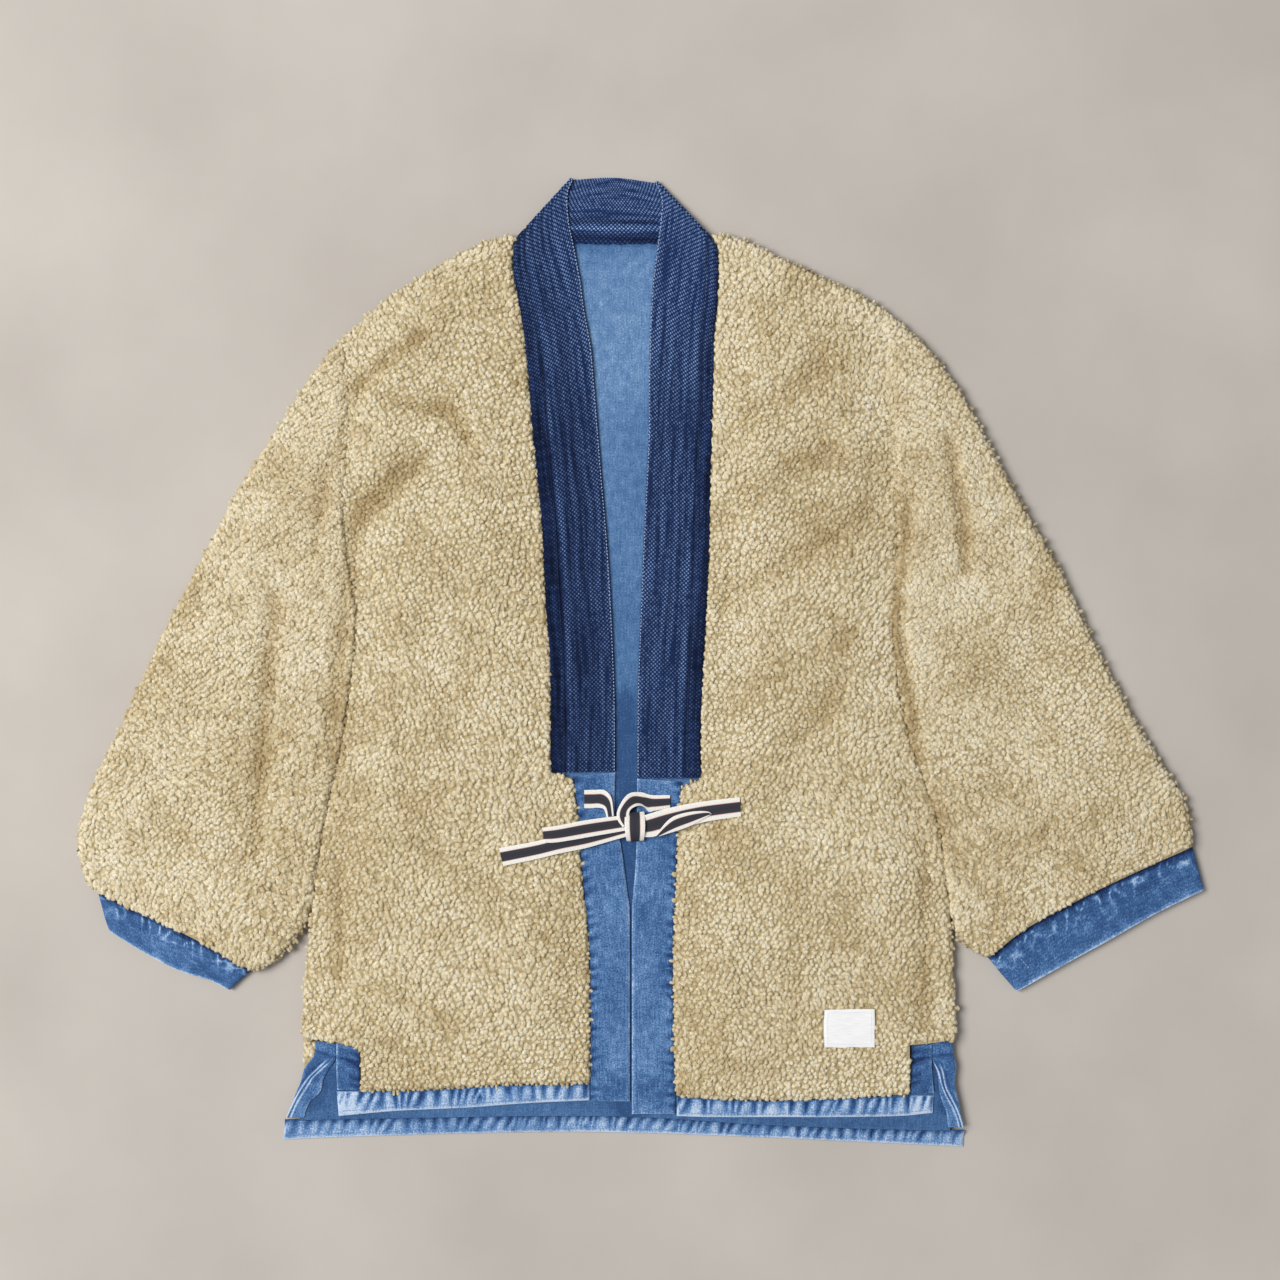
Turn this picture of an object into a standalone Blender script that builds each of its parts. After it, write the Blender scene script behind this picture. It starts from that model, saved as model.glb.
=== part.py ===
"""Kimono jacket laid flat, front up: fleece panels and sleeves, woven collar band, denim bands, tie and label.

Metres, +Z up. +Y runs from the hem to the neck, -X is the wearer's right. The tables below are in
millimetres, as a maker would measure the jacket on its table, and MM turns them into metres.
"""

import math

import bmesh
import bpy
import numpy as np
from mathutils import Vector
from mathutils.bvhtree import BVHTree

MM = 0.001

# Centre of the laid jacket's box in the tables' millimetres, which becomes the part's origin.
CENTRE_X = -0.5
CENTRE_Y = -1.5

# Cloth, from the floor up.
SEAM_GAP = 0.3
CURVE_GAP = 0.6
FLEECE = 6.0
LINING = 1.2
BAND = 2.6
COLLAR = 3.0
TAPE = 1.2
TAPE_WIDTH = 18.0
LABEL = 0.6
LINING_INSET = 5.0
LINING_FLOOR = FLEECE + SEAM_GAP
FRONT_FLOOR = LINING_FLOOR + LINING + SEAM_GAP
EDGE_ROUND = 7.0
BACK_LENGTH = 840.0
FRONT_LENGTH = 740.0
FRONT_LOFT = 3.5

# Middle of the collar's thickness over the floor: at its seam, at its free edge, and at the top corner.
COLLAR_SEAM_Z = FRONT_FLOOR + 3.5
COLLAR_FREE_Z = FRONT_FLOOR + 1.7
COLLAR_TOP_Z = 5.6
# How far the band's corner beside the neck is drawn in from the shoulder seam's end, where it folds.
CORNER_INSET = 3.0

# Flattened tubes: the sleeve's and the cuff's own wall, their height, and the reach of the side fold.
SLEEVE_WALL = 6.4
SLEEVE_HEIGHT = 15.4
SLEEVE_FOLD = 9.0
SLEEVE_LOFT = 1.3
SLEEVE_LENGTH = 560.0
# How far the sleeve's upper layer is drawn down at its armhole seam.
SLEEVE_DIP = 3.6
CUFF_WALL = 2.6
CUFF_HEIGHT = 8.8
CUFF_FOLD = 4.6
CUFF_STEPS = [0, 3, 12, 24, 33, 36]

# Puckers roped along the bands: their spacing and height.
PUCKER_PITCH = 10.0
PUCKER_RISE = 0.8

# Outlines, each from the neck down or from the wearer's right to left: (x, y).
SHOULDER_R = [(-282, 309), (-247, 340), (-215, 362), (-184, 381), (-152, 397), (-122, 404)]
ARMHOLE_R = [(-282, 309), (-285, 262), (-287, 205), (-286, 150), (-281, 95), (-272, 45)]
SIDE_R = [(-272, 45), (-278, -22), (-289, -95), (-300, -143), (-308, -189), (-314, -234),
          (-319, -288), (-323, -330), (-323, -410)]
COLLAR_SEAM_R = [(-122, 404), (-123, 373), (-118, 343), (-112, 307), (-108, 267), (-105, 229),
                 (-100, 178), (-95, 127), (-92, 59), (-88, 9), (-87, -40), (-87, -106)]
BAND_SEAM_R = [(-67, -110), (-62, -143), (-59, -189), (-55, -232), (-51, -270), (-50, -337), (-50, -402)]
HEM_SEAM_R = [(-323, -410), (-267, -409), (-207, -408), (-167, -405), (-123, -403), (-50, -402)]

SHOULDER_L = [(68, 404), (91, 402), (111, 393), (133, 382), (181, 360), (209, 346), (229, 334)]
ARMHOLE_L = [(229, 334), (236, 270), (241, 200), (243, 130), (242, 80), (238, 31)]
SIDE_L = [(238, 31), (244, -28), (256, -80), (271, -123), (283, -161), (288, -200), (293, -240),
          (296, -290), (299, -356), (300, -413)]
COLLAR_SEAM_L = [(68, 404), (72, 385), (71, 343), (68, 309), (67, 266), (66, 229), (64, 162),
                 (63, 110), (60, 43), (57, -9), (55, -60), (55, -111)]
BAND_SEAM_L = [(38, -115), (36, -143), (33, -189), (32, -227), (30, -275), (30, -337), (32, -414)]
HEM_SEAM_L = [(32, -414), (85, -417), (131, -418), (207, -415), (249, -413), (300, -413)]

# Front corners cut away for the vents: how far in the cut reaches, and its top edge (x, y).
VENT_CUT_R = {"x": -268, "edge": [(-330, -355), (-309, -357), (-292, -362), (-268, -368)]}
VENT_CUT_L = {"x": 254, "edge": [(254, -365), (280, -363), (305, -358)]}

# Inner, free edges of the collar's arms and of the front bands.
COLLAR_FREE_R = [(-66, 459), (-71, 445), (-70, 420), (-65, 395), (-59, 362), (-55, 333), (-49, 300),
                 (-46, 266), (-43, 229), (-39, 178), (-32, 93), (-27, -9), (-26, -60), (-26, -105)]
COLLAR_FREE_L = [(12, 456), (18, 440), (17, 418), (13, 387), (9, 351), (7, 309), (6, 266),
                 (6, 229), (4, 178), (0, 93), (-4, -9), (-5, -60), (-5, -111)]
BAND_FREE_R = [(-26, -106), (-26, -146), (-20, -178), (-14, -223), (-12, -251), (-12, -419)]
BAND_FREE_L = [(-5, -112), (-6, -181), (-9, -223), (-10, -251), (-10, -431)]
COLLAR_TOP = [(-66, 459), (-27, 461), (12, 456)]
NECK_SEAM = [(-122, 404), (-70, 399), (-27, 398), (20, 399), (68, 404)]

# Lower corners of the front bands, beside the hem bands.
BAND_FOOT_R = (-50, -419)
BAND_FOOT_L = (32, -431)

# Sleeves: shoulder edge, underarm edge and cuff seam, then the cuff's ends and opening.
SLEEVE_TOP_R = [(-282, 309), (-313, 272), (-339, 232), (-376, 175), (-415, 103), (-458, 20),
                (-496, -63), (-518, -108), (-532, -146), (-536, -178), (-530, -205), (-518, -219)]
SLEEVE_UNDER_R = [(-272, 45), (-278, -22), (-289, -95), (-300, -143), (-308, -189), (-314, -234),
                  (-325, -258), (-342, -278), (-356, -290), (-372, -294)]
CUFF_SEAM_R = [(-518, -219), (-470, -242), (-420, -267), (-372, -294)]
CUFF_OUTER_R = [(-519, -219), (-512, -245), (-508, -256)]
CUFF_INNER_R = [(-372, -294), (-378, -303), (-387, -309)]
CUFF_OPEN_R = [(-508, -256), (-472, -278), (-437, -295), (-410, -307), (-387, -309)]

SLEEVE_TOP_L = [(229, 334), (266, 302), (300, 258), (328, 208), (360, 149), (394, 91), (435, 6),
                (482, -80), (515, -132), (524, -176)]
SLEEVE_UNDER_L = [(238, 31), (244, -28), (256, -80), (271, -123), (283, -161), (288, -200),
                  (293, -240), (301, -263), (315, -276), (329, -282)]
CUFF_SEAM_L = [(524, -176), (472, -199), (422, -223), (365, -254), (329, -282)]
CUFF_OUTER_L = [(524, -176), (530, -198), (535, -217)]
CUFF_INNER_L = [(329, -282), (342, -298), (356, -314)]
CUFF_OPEN_L = [(535, -217), (488, -240), (444, -265), (411, -283), (356, -314)]

SLEEVE_R = {"armhole": ARMHOLE_R, "cuff seam": CUFF_SEAM_R, "top": SLEEVE_TOP_R, "under": SLEEVE_UNDER_R,
            "cuff opening": CUFF_OPEN_R, "cuff outer": CUFF_OUTER_R, "cuff inner": CUFF_INNER_R,
            "cuff columns": 14, "cuff floor columns": 6}
SLEEVE_L = {"armhole": ARMHOLE_L, "cuff seam": CUFF_SEAM_L, "top": SLEEVE_TOP_L, "under": SLEEVE_UNDER_L,
            "cuff opening": CUFF_OPEN_L, "cuff outer": CUFF_OUTER_L, "cuff inner": CUFF_INNER_L,
            "cuff columns": 18, "cuff floor columns": 8}

# Hems: the seam with the cloth above, and the band's lower edge.
BACK_HEM_SEAM = [(-341, -436), (-230, -434), (-100, -432), (0, -433), (110, -440), (210, -444),
                 (307, -446)]
BACK_HEM_EDGE = [(-343, -457), (-230, -453), (-97, -450), (-2, -451), (112, -455), (306, -464)]
FRONT_HEM_SEAM_R = [(-291, -409), (-267, -409), (-207, -408), (-167, -405), (-123, -403), (-50, -402)]
FRONT_HEM_EDGE_R = [(-289, -433), (-232, -428), (-167, -425), (-113, -421), (-50, -418)]
FRONT_HEM_SEAM_L = [(32, -414), (85, -417), (131, -418), (207, -415), (249, -413), (277, -413)]
FRONT_HEM_EDGE_L = [(32, -433), (63, -434), (131, -434), (183, -434), (244, -433), (276, -430)]

# Denim that faces the side vents, each row (x, y) at one edge and (x, y) at the other.
VENT_FRONT_R = [(-292, -363, -268, -369.5), (-292, -385, -268, -387), (-291, -408, -268, -408)]
VENT_FRONT_L = [(254, -366.5, 276, -365), (254, -385, 276, -385), (254, -411, 278, -411)]
VENT_BACK_R = [(-309, -358.5, -294, -363), (-316, -374, -294, -376), (-319, -386, -300, -386),
               (-322, -398, -309, -398), (-326, -408, -315, -408), (-332, -420, -323, -420),
               (-339, -434, -332, -434)]
VENT_BACK_L = [(279, -365, 296, -362), (279, -376, 298, -374), (280, -386, 299, -386),
               (286, -398, 300, -398), (291, -412, 302, -412), (296, -426, 304, -426),
               (301, -443, 306, -443)]

# Largest creases pressed into the cloth: their route, depth and half width.
CREASES = [
    {"route": [(-191, 242), (-171, 218)], "depth": 1.6, "reach": 12},
    {"route": [(-211, 186), (-267, 133)], "depth": 2.6, "reach": 10},
    {"route": [(-289, -190), (-289, -307)], "depth": 1.6, "reach": 6},
    {"route": [(-348, 58), (-358, -39), (-366, -180)], "depth": 2.6, "reach": 15},
    {"route": [(291, 210), (297, 173), (306, 121), (307, 86)], "depth": 3.0, "reach": 10},
    {"route": [(268, -175), (268, -352)], "depth": 1.6, "reach": 6},
    {"route": [(196, 20), (168, -60)], "depth": 1.4, "reach": 14},
]

# Tie tapes, along their middle: (x, y) of each stretch, which the heights below carry.
TIE_STITCHED_R = [(-55, -134), (-38, -134)]
TIE_STITCHED_L = [(26, -138), (5, -137)]
TIE_TAIL_UPPER = [(-94, -167), (-62, -161), (-24, -153)]
TIE_TAIL_LOWER = [(-135, -188), (-87, -180), (-50, -174), (-21, -169)]
TIE_TAIL_LEFT = [(94, -139), (60, -146), (30, -152), (8, -158)]
KNOT = {"x": -8, "y": -159, "width": 21, "length": 27, "height": 9.5}
LABEL_CORNERS = {"x": (172, 220), "y": (-366, -330)}

COLOURS = {
    "fleece_sand": ((0.60, 0.50, 0.30), 0.95),
    "denim_light": ((0.155, 0.315, 0.60), 0.85),
    "denim_mid": ((0.050, 0.135, 0.38), 0.85),
    "sashiko_indigo": ((0.014, 0.030, 0.11), 0.80),
    "tape_striped": ((0.035, 0.035, 0.05), 0.75),
    "label_white": ((0.93, 0.94, 0.98), 0.70),
}


def smooth(points, per_span=8):
    """A curve through the points, rounded like laid cloth, as a close row of points."""
    known = np.array(points, float)
    ends = np.vstack([2 * known[0] - known[1], known, 2 * known[-1] - known[-2]])
    found = []
    for a, b, c, d in zip(ends, ends[1:], ends[2:], ends[3:]):
        for t in np.linspace(0, 1, per_span, endpoint=False):
            found.append(0.5 * (2 * b + (c - a) * t + (2 * a - 5 * b + 4 * c - d) * t**2
                                + (3 * b - a - 3 * c + d) * t**3))
    found.append(known[-1])
    return np.array(found)


def along(points):
    """A function from 0..1 to the point that far along the curve."""
    route = smooth(points)
    steps = np.linalg.norm(np.diff(route, axis=0), axis=1)
    reached = np.concatenate([[0], np.cumsum(steps)]) / steps.sum()
    return lambda t: np.array([np.interp(t, reached, axis) for axis in route.T])


def downward(*stretches):
    """A function from 0..1 to the point of an edge at that share of its fall in y."""
    route = np.vstack([smooth(points) for points in stretches])
    fall = (route[0, 1] - route[:, 1]) / (route[0, 1] - route[-1, 1])
    fall = np.maximum.accumulate(fall)
    return lambda t: np.array([np.interp(t, fall, axis) for axis in route.T])


def shifted(edge, dx):
    """The same edge, moved sideways by a seam's gap."""
    return lambda t: edge(t) + np.array([dx, 0.0])


def patch(top, bottom, left, right):
    """A function from (u, v) to the point of the cloth between four edges."""
    corners = top(0), top(1), bottom(0), bottom(1)

    def point(u, v):
        across = (1 - v) * top(u) + v * bottom(u)
        down = (1 - u) * left(v) + u * right(v)
        flat = ((1 - v) * ((1 - u) * corners[0] + u * corners[1])
                + v * ((1 - u) * corners[2] + u * corners[3]))
        return across + down - flat

    return point


def to_route(point, route):
    """Distance from a point to a polyline."""
    nearest = math.inf
    for a, b in zip(route, route[1:]):
        a, b = np.array(a, float), np.array(b, float)
        share = np.clip(np.dot(point - a, b - a) / np.dot(b - a, b - a), 0, 1)
        nearest = min(nearest, float(np.linalg.norm(point - a - share * (b - a))))
    return nearest


def crease_depth(point):
    """How far the creases press the cloth down at a point."""
    return sum(row["depth"] * math.exp(-((to_route(point, row["route"]) / row["reach"]) ** 2))
               for row in CREASES)


def rise(distance, reach):
    """0 at an edge, 1 from reach inwards, with a soft start and end."""
    share = min(max(distance / reach, 0), 1)
    return share * share * (3 - 2 * share)


def rounded(distance, least=0.3):
    """The share of a wall's thickness that is left this near its rounded edge."""
    share = 1 - min(max(distance, 0), EDGE_ROUND) / EDGE_ROUND
    return least + (1 - least) * math.sqrt(max(0.0, 1 - share * share))


def loft_at(point, distance, height, least=0.0):
    """How far the cloth lies above what is under it, and in a crease how far it is pressed down."""
    return max(height * rise(distance, 60) - crease_depth(point) * rise(distance, 12), least)


def material(name):
    made = bpy.data.materials.get(name)
    if made is None:
        made = bpy.data.materials.new(name)
        made.use_nodes = True
        colour, roughness = COLOURS[name]
        shader = made.node_tree.nodes["Principled BSDF"]
        shader.inputs["Base Color"].default_value = (*colour, 1)
        shader.inputs["Roughness"].default_value = roughness
    return made


def new_object(name, points, faces, finish):
    """One closed solid, from points in the tables' millimetres."""
    mesh = bpy.data.meshes.new(name)
    placed = [((x - CENTRE_X) * MM, (y - CENTRE_Y) * MM, z * MM) for x, y, z in points]
    mesh.from_pydata(placed, [], faces)
    shape = bmesh.new()
    shape.from_mesh(mesh)
    loose = [vertex for vertex in shape.verts if not vertex.link_faces]
    bmesh.ops.delete(shape, geom=loose, context="VERTS")
    bmesh.ops.recalc_face_normals(shape, faces=shape.faces)
    shape.to_mesh(mesh)
    shape.free()
    mesh.shade_smooth()
    mesh.set_sharp_from_angle(angle=math.radians(50))
    mesh.materials.append(material(finish))
    made = bpy.data.objects.new(name, mesh)
    bpy.context.scene.collection.objects.link(made)
    return made


def slab(name, upper, lower, finish, keep=None):
    """A wall between two grids of points. Cells that keep leaves out are cut away."""
    upper, lower = np.asarray(upper), np.asarray(lower)
    rows, columns = upper.shape[:2]
    kept = np.ones((rows - 1, columns - 1), bool) if keep is None else np.asarray(keep, bool)
    count = rows * columns
    faces, rims = [], {}
    for i in range(rows - 1):
        for j in range(columns - 1):
            if not kept[i, j]:
                continue
            a, b = i * columns + j, i * columns + j + 1
            c, d = b + columns, a + columns
            faces.append((a, b, c, d))
            faces.append((d + count, c + count, b + count, a + count))
            for start, end in ((a, b), (b, c), (c, d), (d, a)):
                if (end, start) in rims:
                    del rims[(end, start)]
                else:
                    rims[(start, end)] = True
    faces += [(start, start + count, end + count, end) for start, end in rims]
    points = np.concatenate([upper.reshape(-1, 3), lower.reshape(-1, 3)])
    return new_object(name, points, faces, finish)


def ring_tube(name, outer, inner, finish):
    """An open-ended tube wall between two stacks of rings."""
    outer, inner = np.asarray(outer), np.asarray(inner)
    rows, around = outer.shape[:2]
    count = rows * around
    faces = []
    for i in range(rows - 1):
        for j in range(around):
            a, b = i * around + j, i * around + (j + 1) % around
            c, d = b + around, a + around
            faces.append((a, b, c, d))
            faces.append((d + count, c + count, b + count, a + count))
    for first in (0, (rows - 1) * around):
        for j in range(around):
            a, b = first + j, first + (j + 1) % around
            faces.append((a, a + count, b + count, b))
    points = np.concatenate([outer.reshape(-1, 3), inner.reshape(-1, 3)])
    return new_object(name, points, faces, finish)


def spread(length, edge_steps, middle):
    """Distances along a length: close together at both rounded ends, even between them."""
    inside = np.linspace(edge_steps[-1], length - edge_steps[-1], middle)
    return np.concatenate([edge_steps[:-1], inside, [length - step for step in edge_steps[-2::-1]]])


def fall_to(point, start, end):
    """The share of the fall from start to end at which the point's height lies."""
    return (start[1] - point[1]) / (start[1] - end[1])


def with_rows_at(steps, marks, clear):
    """The same steps, with one exactly at each mark and none other near it."""
    kept = [step for step in steps if all(abs(step - mark) > clear for mark in marks)]
    return np.sort(np.concatenate([kept, marks]))


def row_width(cloth, v):
    return float(np.linalg.norm(cloth(1, v) - cloth(0, v)))


def front(name, cloth, steps_down, cut, middle):
    """A fleece front: a wall of one thickness that lofts over the back, with its vent corner cut away."""
    upper, lower = [], []
    length = steps_down[-1]
    for down in steps_down:
        v = down / length
        width = row_width(cloth, v)
        row_up, row_low = [], []
        for across in spread(width, [0, 2, EDGE_ROUND], middle):
            x, y = cloth(across / width, v)
            distance = min(across, width - across, down, length - down)
            floor = FRONT_FLOOR + loft_at(np.array([x, y]), distance, FRONT_LOFT)
            row_up.append((x, y, floor + FLEECE * rounded(distance)))
            row_low.append((x, y, floor))
        upper.append(row_up)
        lower.append(row_low)
    upper, lower = np.array(upper), np.array(lower)
    keep = vent_corner(upper, lower, cut)
    return slab(name, upper, lower, "fleece_sand", keep)


def vent_corner(upper, lower, cut):
    """Moves the grid's lines onto the vent's cut edges and returns the cells that stay."""
    sign = 1 if cut["x"] < 0 else -1
    edge_x, edge_y = np.array(cut["edge"]).T
    columns = np.arange(upper.shape[1])
    mean_cut = upper[-1, :, 0]
    column = int(columns[np.argmin(abs(mean_cut - cut["x"]))])
    row = int(np.argmin(abs(upper[:, column, 1] - np.interp(cut["x"], edge_x, edge_y))))
    outside = columns <= column if sign > 0 else columns >= column
    for grid in (upper, lower):
        grid[row:, column, 0] = cut["x"]
        grid[row, outside, 1] = np.interp(grid[row, outside, 0], edge_x, edge_y)
    keep = np.ones((upper.shape[0] - 1, upper.shape[1] - 1), bool)
    if sign > 0:
        keep[row:, :column] = False
    else:
        keep[row:, column:] = False
    return keep


def back_panel(name, cloth, steps, thickness, floor, inset, finish, columns):
    """A back layer: flat underneath, with its upper rim rounded where it is thick."""
    upper, lower = [], []
    length = steps[-1]
    for down in steps:
        v = inset / length + down / length * (1 - inset / length)
        width = row_width(cloth, v)
        row_up, row_low = [], []
        for across in spread(width - 2 * inset, [0, 2, EDGE_ROUND], columns):
            x, y = cloth((across + inset) / width, v)
            distance = min(across, width - 2 * inset - across, down)
            share = rounded(distance, 0.5) if thickness > 2 else 1
            row_up.append((x, y, floor + thickness * share))
            row_low.append((x, y, floor))
        upper.append(row_up)
        lower.append(row_low)
    return slab(name, upper, lower, finish)


def flat_tube(name, cloth, steps, wall, height, fold, loft, dip, finish, top_middle, floor_middle):
    """A sleeve or cuff laid flat: two layers joined by a rounded fold along each side."""
    outer, inner = [], []
    length = steps[-1]
    turns = np.radians([-90, -50, -15, 20, 55, 90])
    for down in steps:
        v = down / length
        width = row_width(cloth, v)
        pressed = dip * (1 - rounded(down, 0)) + 0.4 * dip * (1 - rounded(length - down, 0))
        section = [(fold * (1 - math.cos(t)), math.sin(t), t) for t in turns]
        section += [(s, 1, None) for s in np.linspace(fold, width - fold, top_middle)[1:-1]]
        section += [(width - fold * (1 - math.cos(t)), math.sin(t), t) for t in turns[::-1]]
        section += [(s, -1, None) for s in np.linspace(width - fold, fold, floor_middle)[1:-1]]
        row_out, row_in = [], []
        for across, side, turn in section:
            x, y = cloth(across / width, v)
            distance = min(across, width - across)
            half = height / 2
            slack = height - 2 * wall - CURVE_GAP
            lifted = loft_at(np.array([x, y]), distance, loft, -slack) * rise(side, 1)
            lifted *= 0.35 + 0.65 * rise(min(down, length - down), 60)
            down_by = pressed * rise(side, 1)
            row_out.append((x, y, half * (1 + side) + lifted - down_by))
            inside = across
            if turn is not None:
                sunk = (fold - wall * 0.85) * (1 - math.cos(turn)) + wall * 0.85
                inside = sunk if across < width / 2 else width - sunk
            x, y = cloth(inside / width, v)
            row_in.append((x, y, half + side * (half - wall) + lifted))
        outer.append(row_out)
        inner.append(row_in)
    return ring_tube(name, outer, inner, finish)


def band(name, seam, free, floor, along_count, finish="denim_mid", across=(0, 0.18, 0.6, 1),
         drop=0.0):
    """A folded denim band between its seam and its free edge, roped into puckers along the seam."""
    upper, lower = [], []
    for step in range(along_count):
        t = step / (along_count - 1)
        start, end = seam(t), free(t)
        row_up, row_low = [], []
        for share in across:
            x, y = start + (end - start) * share
            fall = drop * (1 - rise(share, 0.45))
            pucker = PUCKER_RISE * (1 if step % 2 else -1) * (1 - share) * (share > 0)
            thin = 0.55 if share in (across[0], across[-1]) or step in (0, along_count - 1) else 1
            row_up.append((x, y, floor + fall + BAND * thin + pucker * (thin == 1)))
            row_low.append((x, y, floor + fall))
        upper.append(row_up)
        lower.append(row_low)
    return slab(name, upper, lower, finish)


def pucker_steps(points):
    """Enough sections for one rise and one fall in each pucker of a band."""
    length = float(np.linalg.norm(np.diff(np.array(points, float), axis=0), axis=1).sum())
    return 2 * round(length / PUCKER_PITCH) + 1


def collar():
    """The collar band: up one front edge, folded on the bias beside the neck, along the back and down."""
    fold_radius = COLLAR / 2 + SEAM_GAP
    sections = []

    def arm(seam_points, free_points, inward):
        seam, free = downward(seam_points), along(free_points)
        rows = []
        for t in ARM_STEPS:
            inset = CORNER_INSET * rise(1 - t / 0.06, 1)
            low = seam(t) + ((2 * CURVE_GAP + inset) * inward, -inset)
            high = free(t ** 0.93)
            above_neck = max(high[1] - NECK_SEAM[2][1], 0) / (COLLAR_TOP[0][1] - NECK_SEAM[2][1])
            free_z = COLLAR_FREE_Z + above_neck * (COLLAR_TOP_Z - COLLAR_FREE_Z)
            rows.append((np.append(low, COLLAR_SEAM_Z), np.append(high, free_z), np.array([0, 0, 1.0])))
        return rows

    right = arm(COLLAR_SEAM_R, COLLAR_FREE_R, 1)
    left = arm(COLLAR_SEAM_L, COLLAR_FREE_L, -1)
    sections += right[::-1]
    sections += bias_fold(right[0], np.array([-0.74, 0.67, 0]), fold_radius, 1)
    sections += stand(right[0], left[0], fold_radius)
    sections += bias_fold(left[0], np.array([0.74, 0.67, 0]), fold_radius, -1)
    sections += left
    return loft_band("collar", sections)


ARM_STEPS = [0, 0.012, 0.03, 0.055, 0.085, 0.12, 0.17, 0.24, 0.32, 0.41, 0.5, 0.6, 0.7, 0.8, 0.9, 0.97, 1]


def bias_fold(edge, outward, radius, way):
    """The half turn at the neck's side, from the arm above to the stand below, or back up."""
    seam, free, _ = edge
    turned = []
    for degrees in (30, 60, 90, 120, 150):
        angle = math.radians(degrees)
        normal = outward * math.sin(angle) + np.array([0, 0, math.cos(angle)])
        drop = np.array([0, 0, -radius])
        turned.append((seam + drop + normal * radius, free + drop + normal * radius, normal))
    return turned if way > 0 else turned[::-1]


def stand(right, left, radius):
    """The stretch behind the neck, its inner face up, from one bias fold to the other."""
    drop = np.array([0, 0, -2 * radius])
    seam, free = along([right[0][:2], *NECK_SEAM[1:-1], left[0][:2]]), along(COLLAR_TOP)
    rows = []
    for t in (0, 0.12, 0.3, 0.5, 0.7, 0.88, 1):
        low, high = seam(t), free(t)
        seam_z = right[0][2] * (1 - t) + left[0][2] * t
        free_z = right[1][2] * (1 - t) + left[1][2] * t
        rows.append((np.append(low + (0, SEAM_GAP), seam_z) + drop,
                     np.append(high, free_z) + drop, np.array([0, 0, -1.0])))
    return rows


def loft_band(name, sections):
    """A closed wall through cross sections, each from the seam to the free edge with its facing."""
    across = (0, 0.05, 0.17, 0.3, 0.62, 0.93, 1)
    height = (0.5, 1.0, 0.8, 1, 1, 1, 0.45)
    upper, lower = [], []
    for seam, free, normal in sections:
        middle = [seam + (free - seam) * share for share in across]
        upper.append([p + normal * COLLAR / 2 * h for p, h in zip(middle, height)])
        lower.append([p - normal * COLLAR / 2 for p in middle])
    return slab(name, upper, lower, "sashiko_indigo")


def mesh_tree(made):
    mesh = made.data
    points = [vertex.co.copy() for vertex in mesh.vertices]
    return BVHTree.FromPolygons(points, [tuple(face.vertices) for face in mesh.polygons])


def height_on(trees, x, y):
    """The highest cloth under a point of the tables, in their millimetres."""
    start = Vector(((x - CENTRE_X) * MM, (y - CENTRE_Y) * MM, 1.0))
    found = [FRONT_FLOOR]
    for tree in trees:
        hit = tree.ray_cast(start, Vector((0, 0, -1)))[0]
        if hit is not None:
            found.append(hit.z / MM)
    return max(found)


def tape(name, route, trees, count):
    """A flat stretch of tie, laid on the cloth along its middle line."""
    middle = along(route)
    half = TAPE_WIDTH / 2
    places = []
    for t in np.linspace(0, 1, count):
        here = middle(t)
        ahead = middle(min(t + 0.02, 1)) - middle(max(t - 0.02, 0))
        side = np.array([-ahead[1], ahead[0]]) / np.linalg.norm(ahead)
        places.append([here + side * half * share for share in (-1, -0.9, 0, 0.9, 1)])
    ground = [max(height_on(trees, *point) for point in row) for row in places]
    ground = [max(ground[max(i - 1, 0):i + 2]) for i in range(count)]
    upper = [[(*point, z + SEAM_GAP + TAPE * (0.5 if k in (0, 4) else 1))
              for k, point in enumerate(row)] for row, z in zip(places, ground)]
    lower = [[(*point, z + SEAM_GAP) for point in row] for row, z in zip(places, ground)]
    return slab(name, upper, lower, "tape_striped")


def knot(trees):
    """The tie's knot: one tape wrapped over the other, as a rounded pad with a waist, resting on the bands."""
    around, levels, seat, crown = 20, 7, 0.68, 0.12

    def ring(reach, z):
        points = []
        for step in range(around):
            turn = 2 * math.pi * step / around
            cos, sin = math.cos(turn), math.sin(turn)
            bulge = 1 - 0.14 * sin * sin
            x = KNOT["width"] / 2 * reach * bulge * math.copysign(abs(cos) ** 0.7, cos)
            y = KNOT["length"] / 2 * reach * math.copysign(abs(sin) ** 0.7, sin)
            points.append((KNOT["x"] + x, KNOT["y"] + y, z))
        return points

    floor = max(height_on(trees, x, y) for x, y, _ in ring(seat, 0)) + SEAM_GAP
    rings = []
    for level in range(levels + 1):
        angle = math.pi * (level / levels - 0.5)
        reach = max(math.cos(angle), seat if level < levels / 2 else crown) ** 0.55
        reach = seat if level == 0 else reach
        rings.append(ring(reach, floor + KNOT["height"] / 2 * (1 + math.sin(angle))))
    points = [point for row in rings for point in row]
    faces = [tuple(range(around))[::-1], tuple(range(around * levels, around * (levels + 1)))]
    for level in range(levels):
        for step in range(around):
            a, b = level * around + step, level * around + (step + 1) % around
            faces.append((a, b, b + around, a + around))
    return new_object("tie_knot", points, faces, "tape_striped")


def label(trees):
    """The woven label, flat on the fleece, with nothing written on it."""
    xs = np.linspace(*LABEL_CORNERS["x"], 5)
    ys = np.linspace(*LABEL_CORNERS["y"], 4)
    floor = max(height_on(trees, x, y) for x in xs for y in ys) + SEAM_GAP
    lower = [[(x, y, floor) for x in xs] for y in ys]
    upper = [[(x, y, floor + LABEL) for x in xs] for y in ys]
    return slab("label", upper, lower, "label_white")


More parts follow.
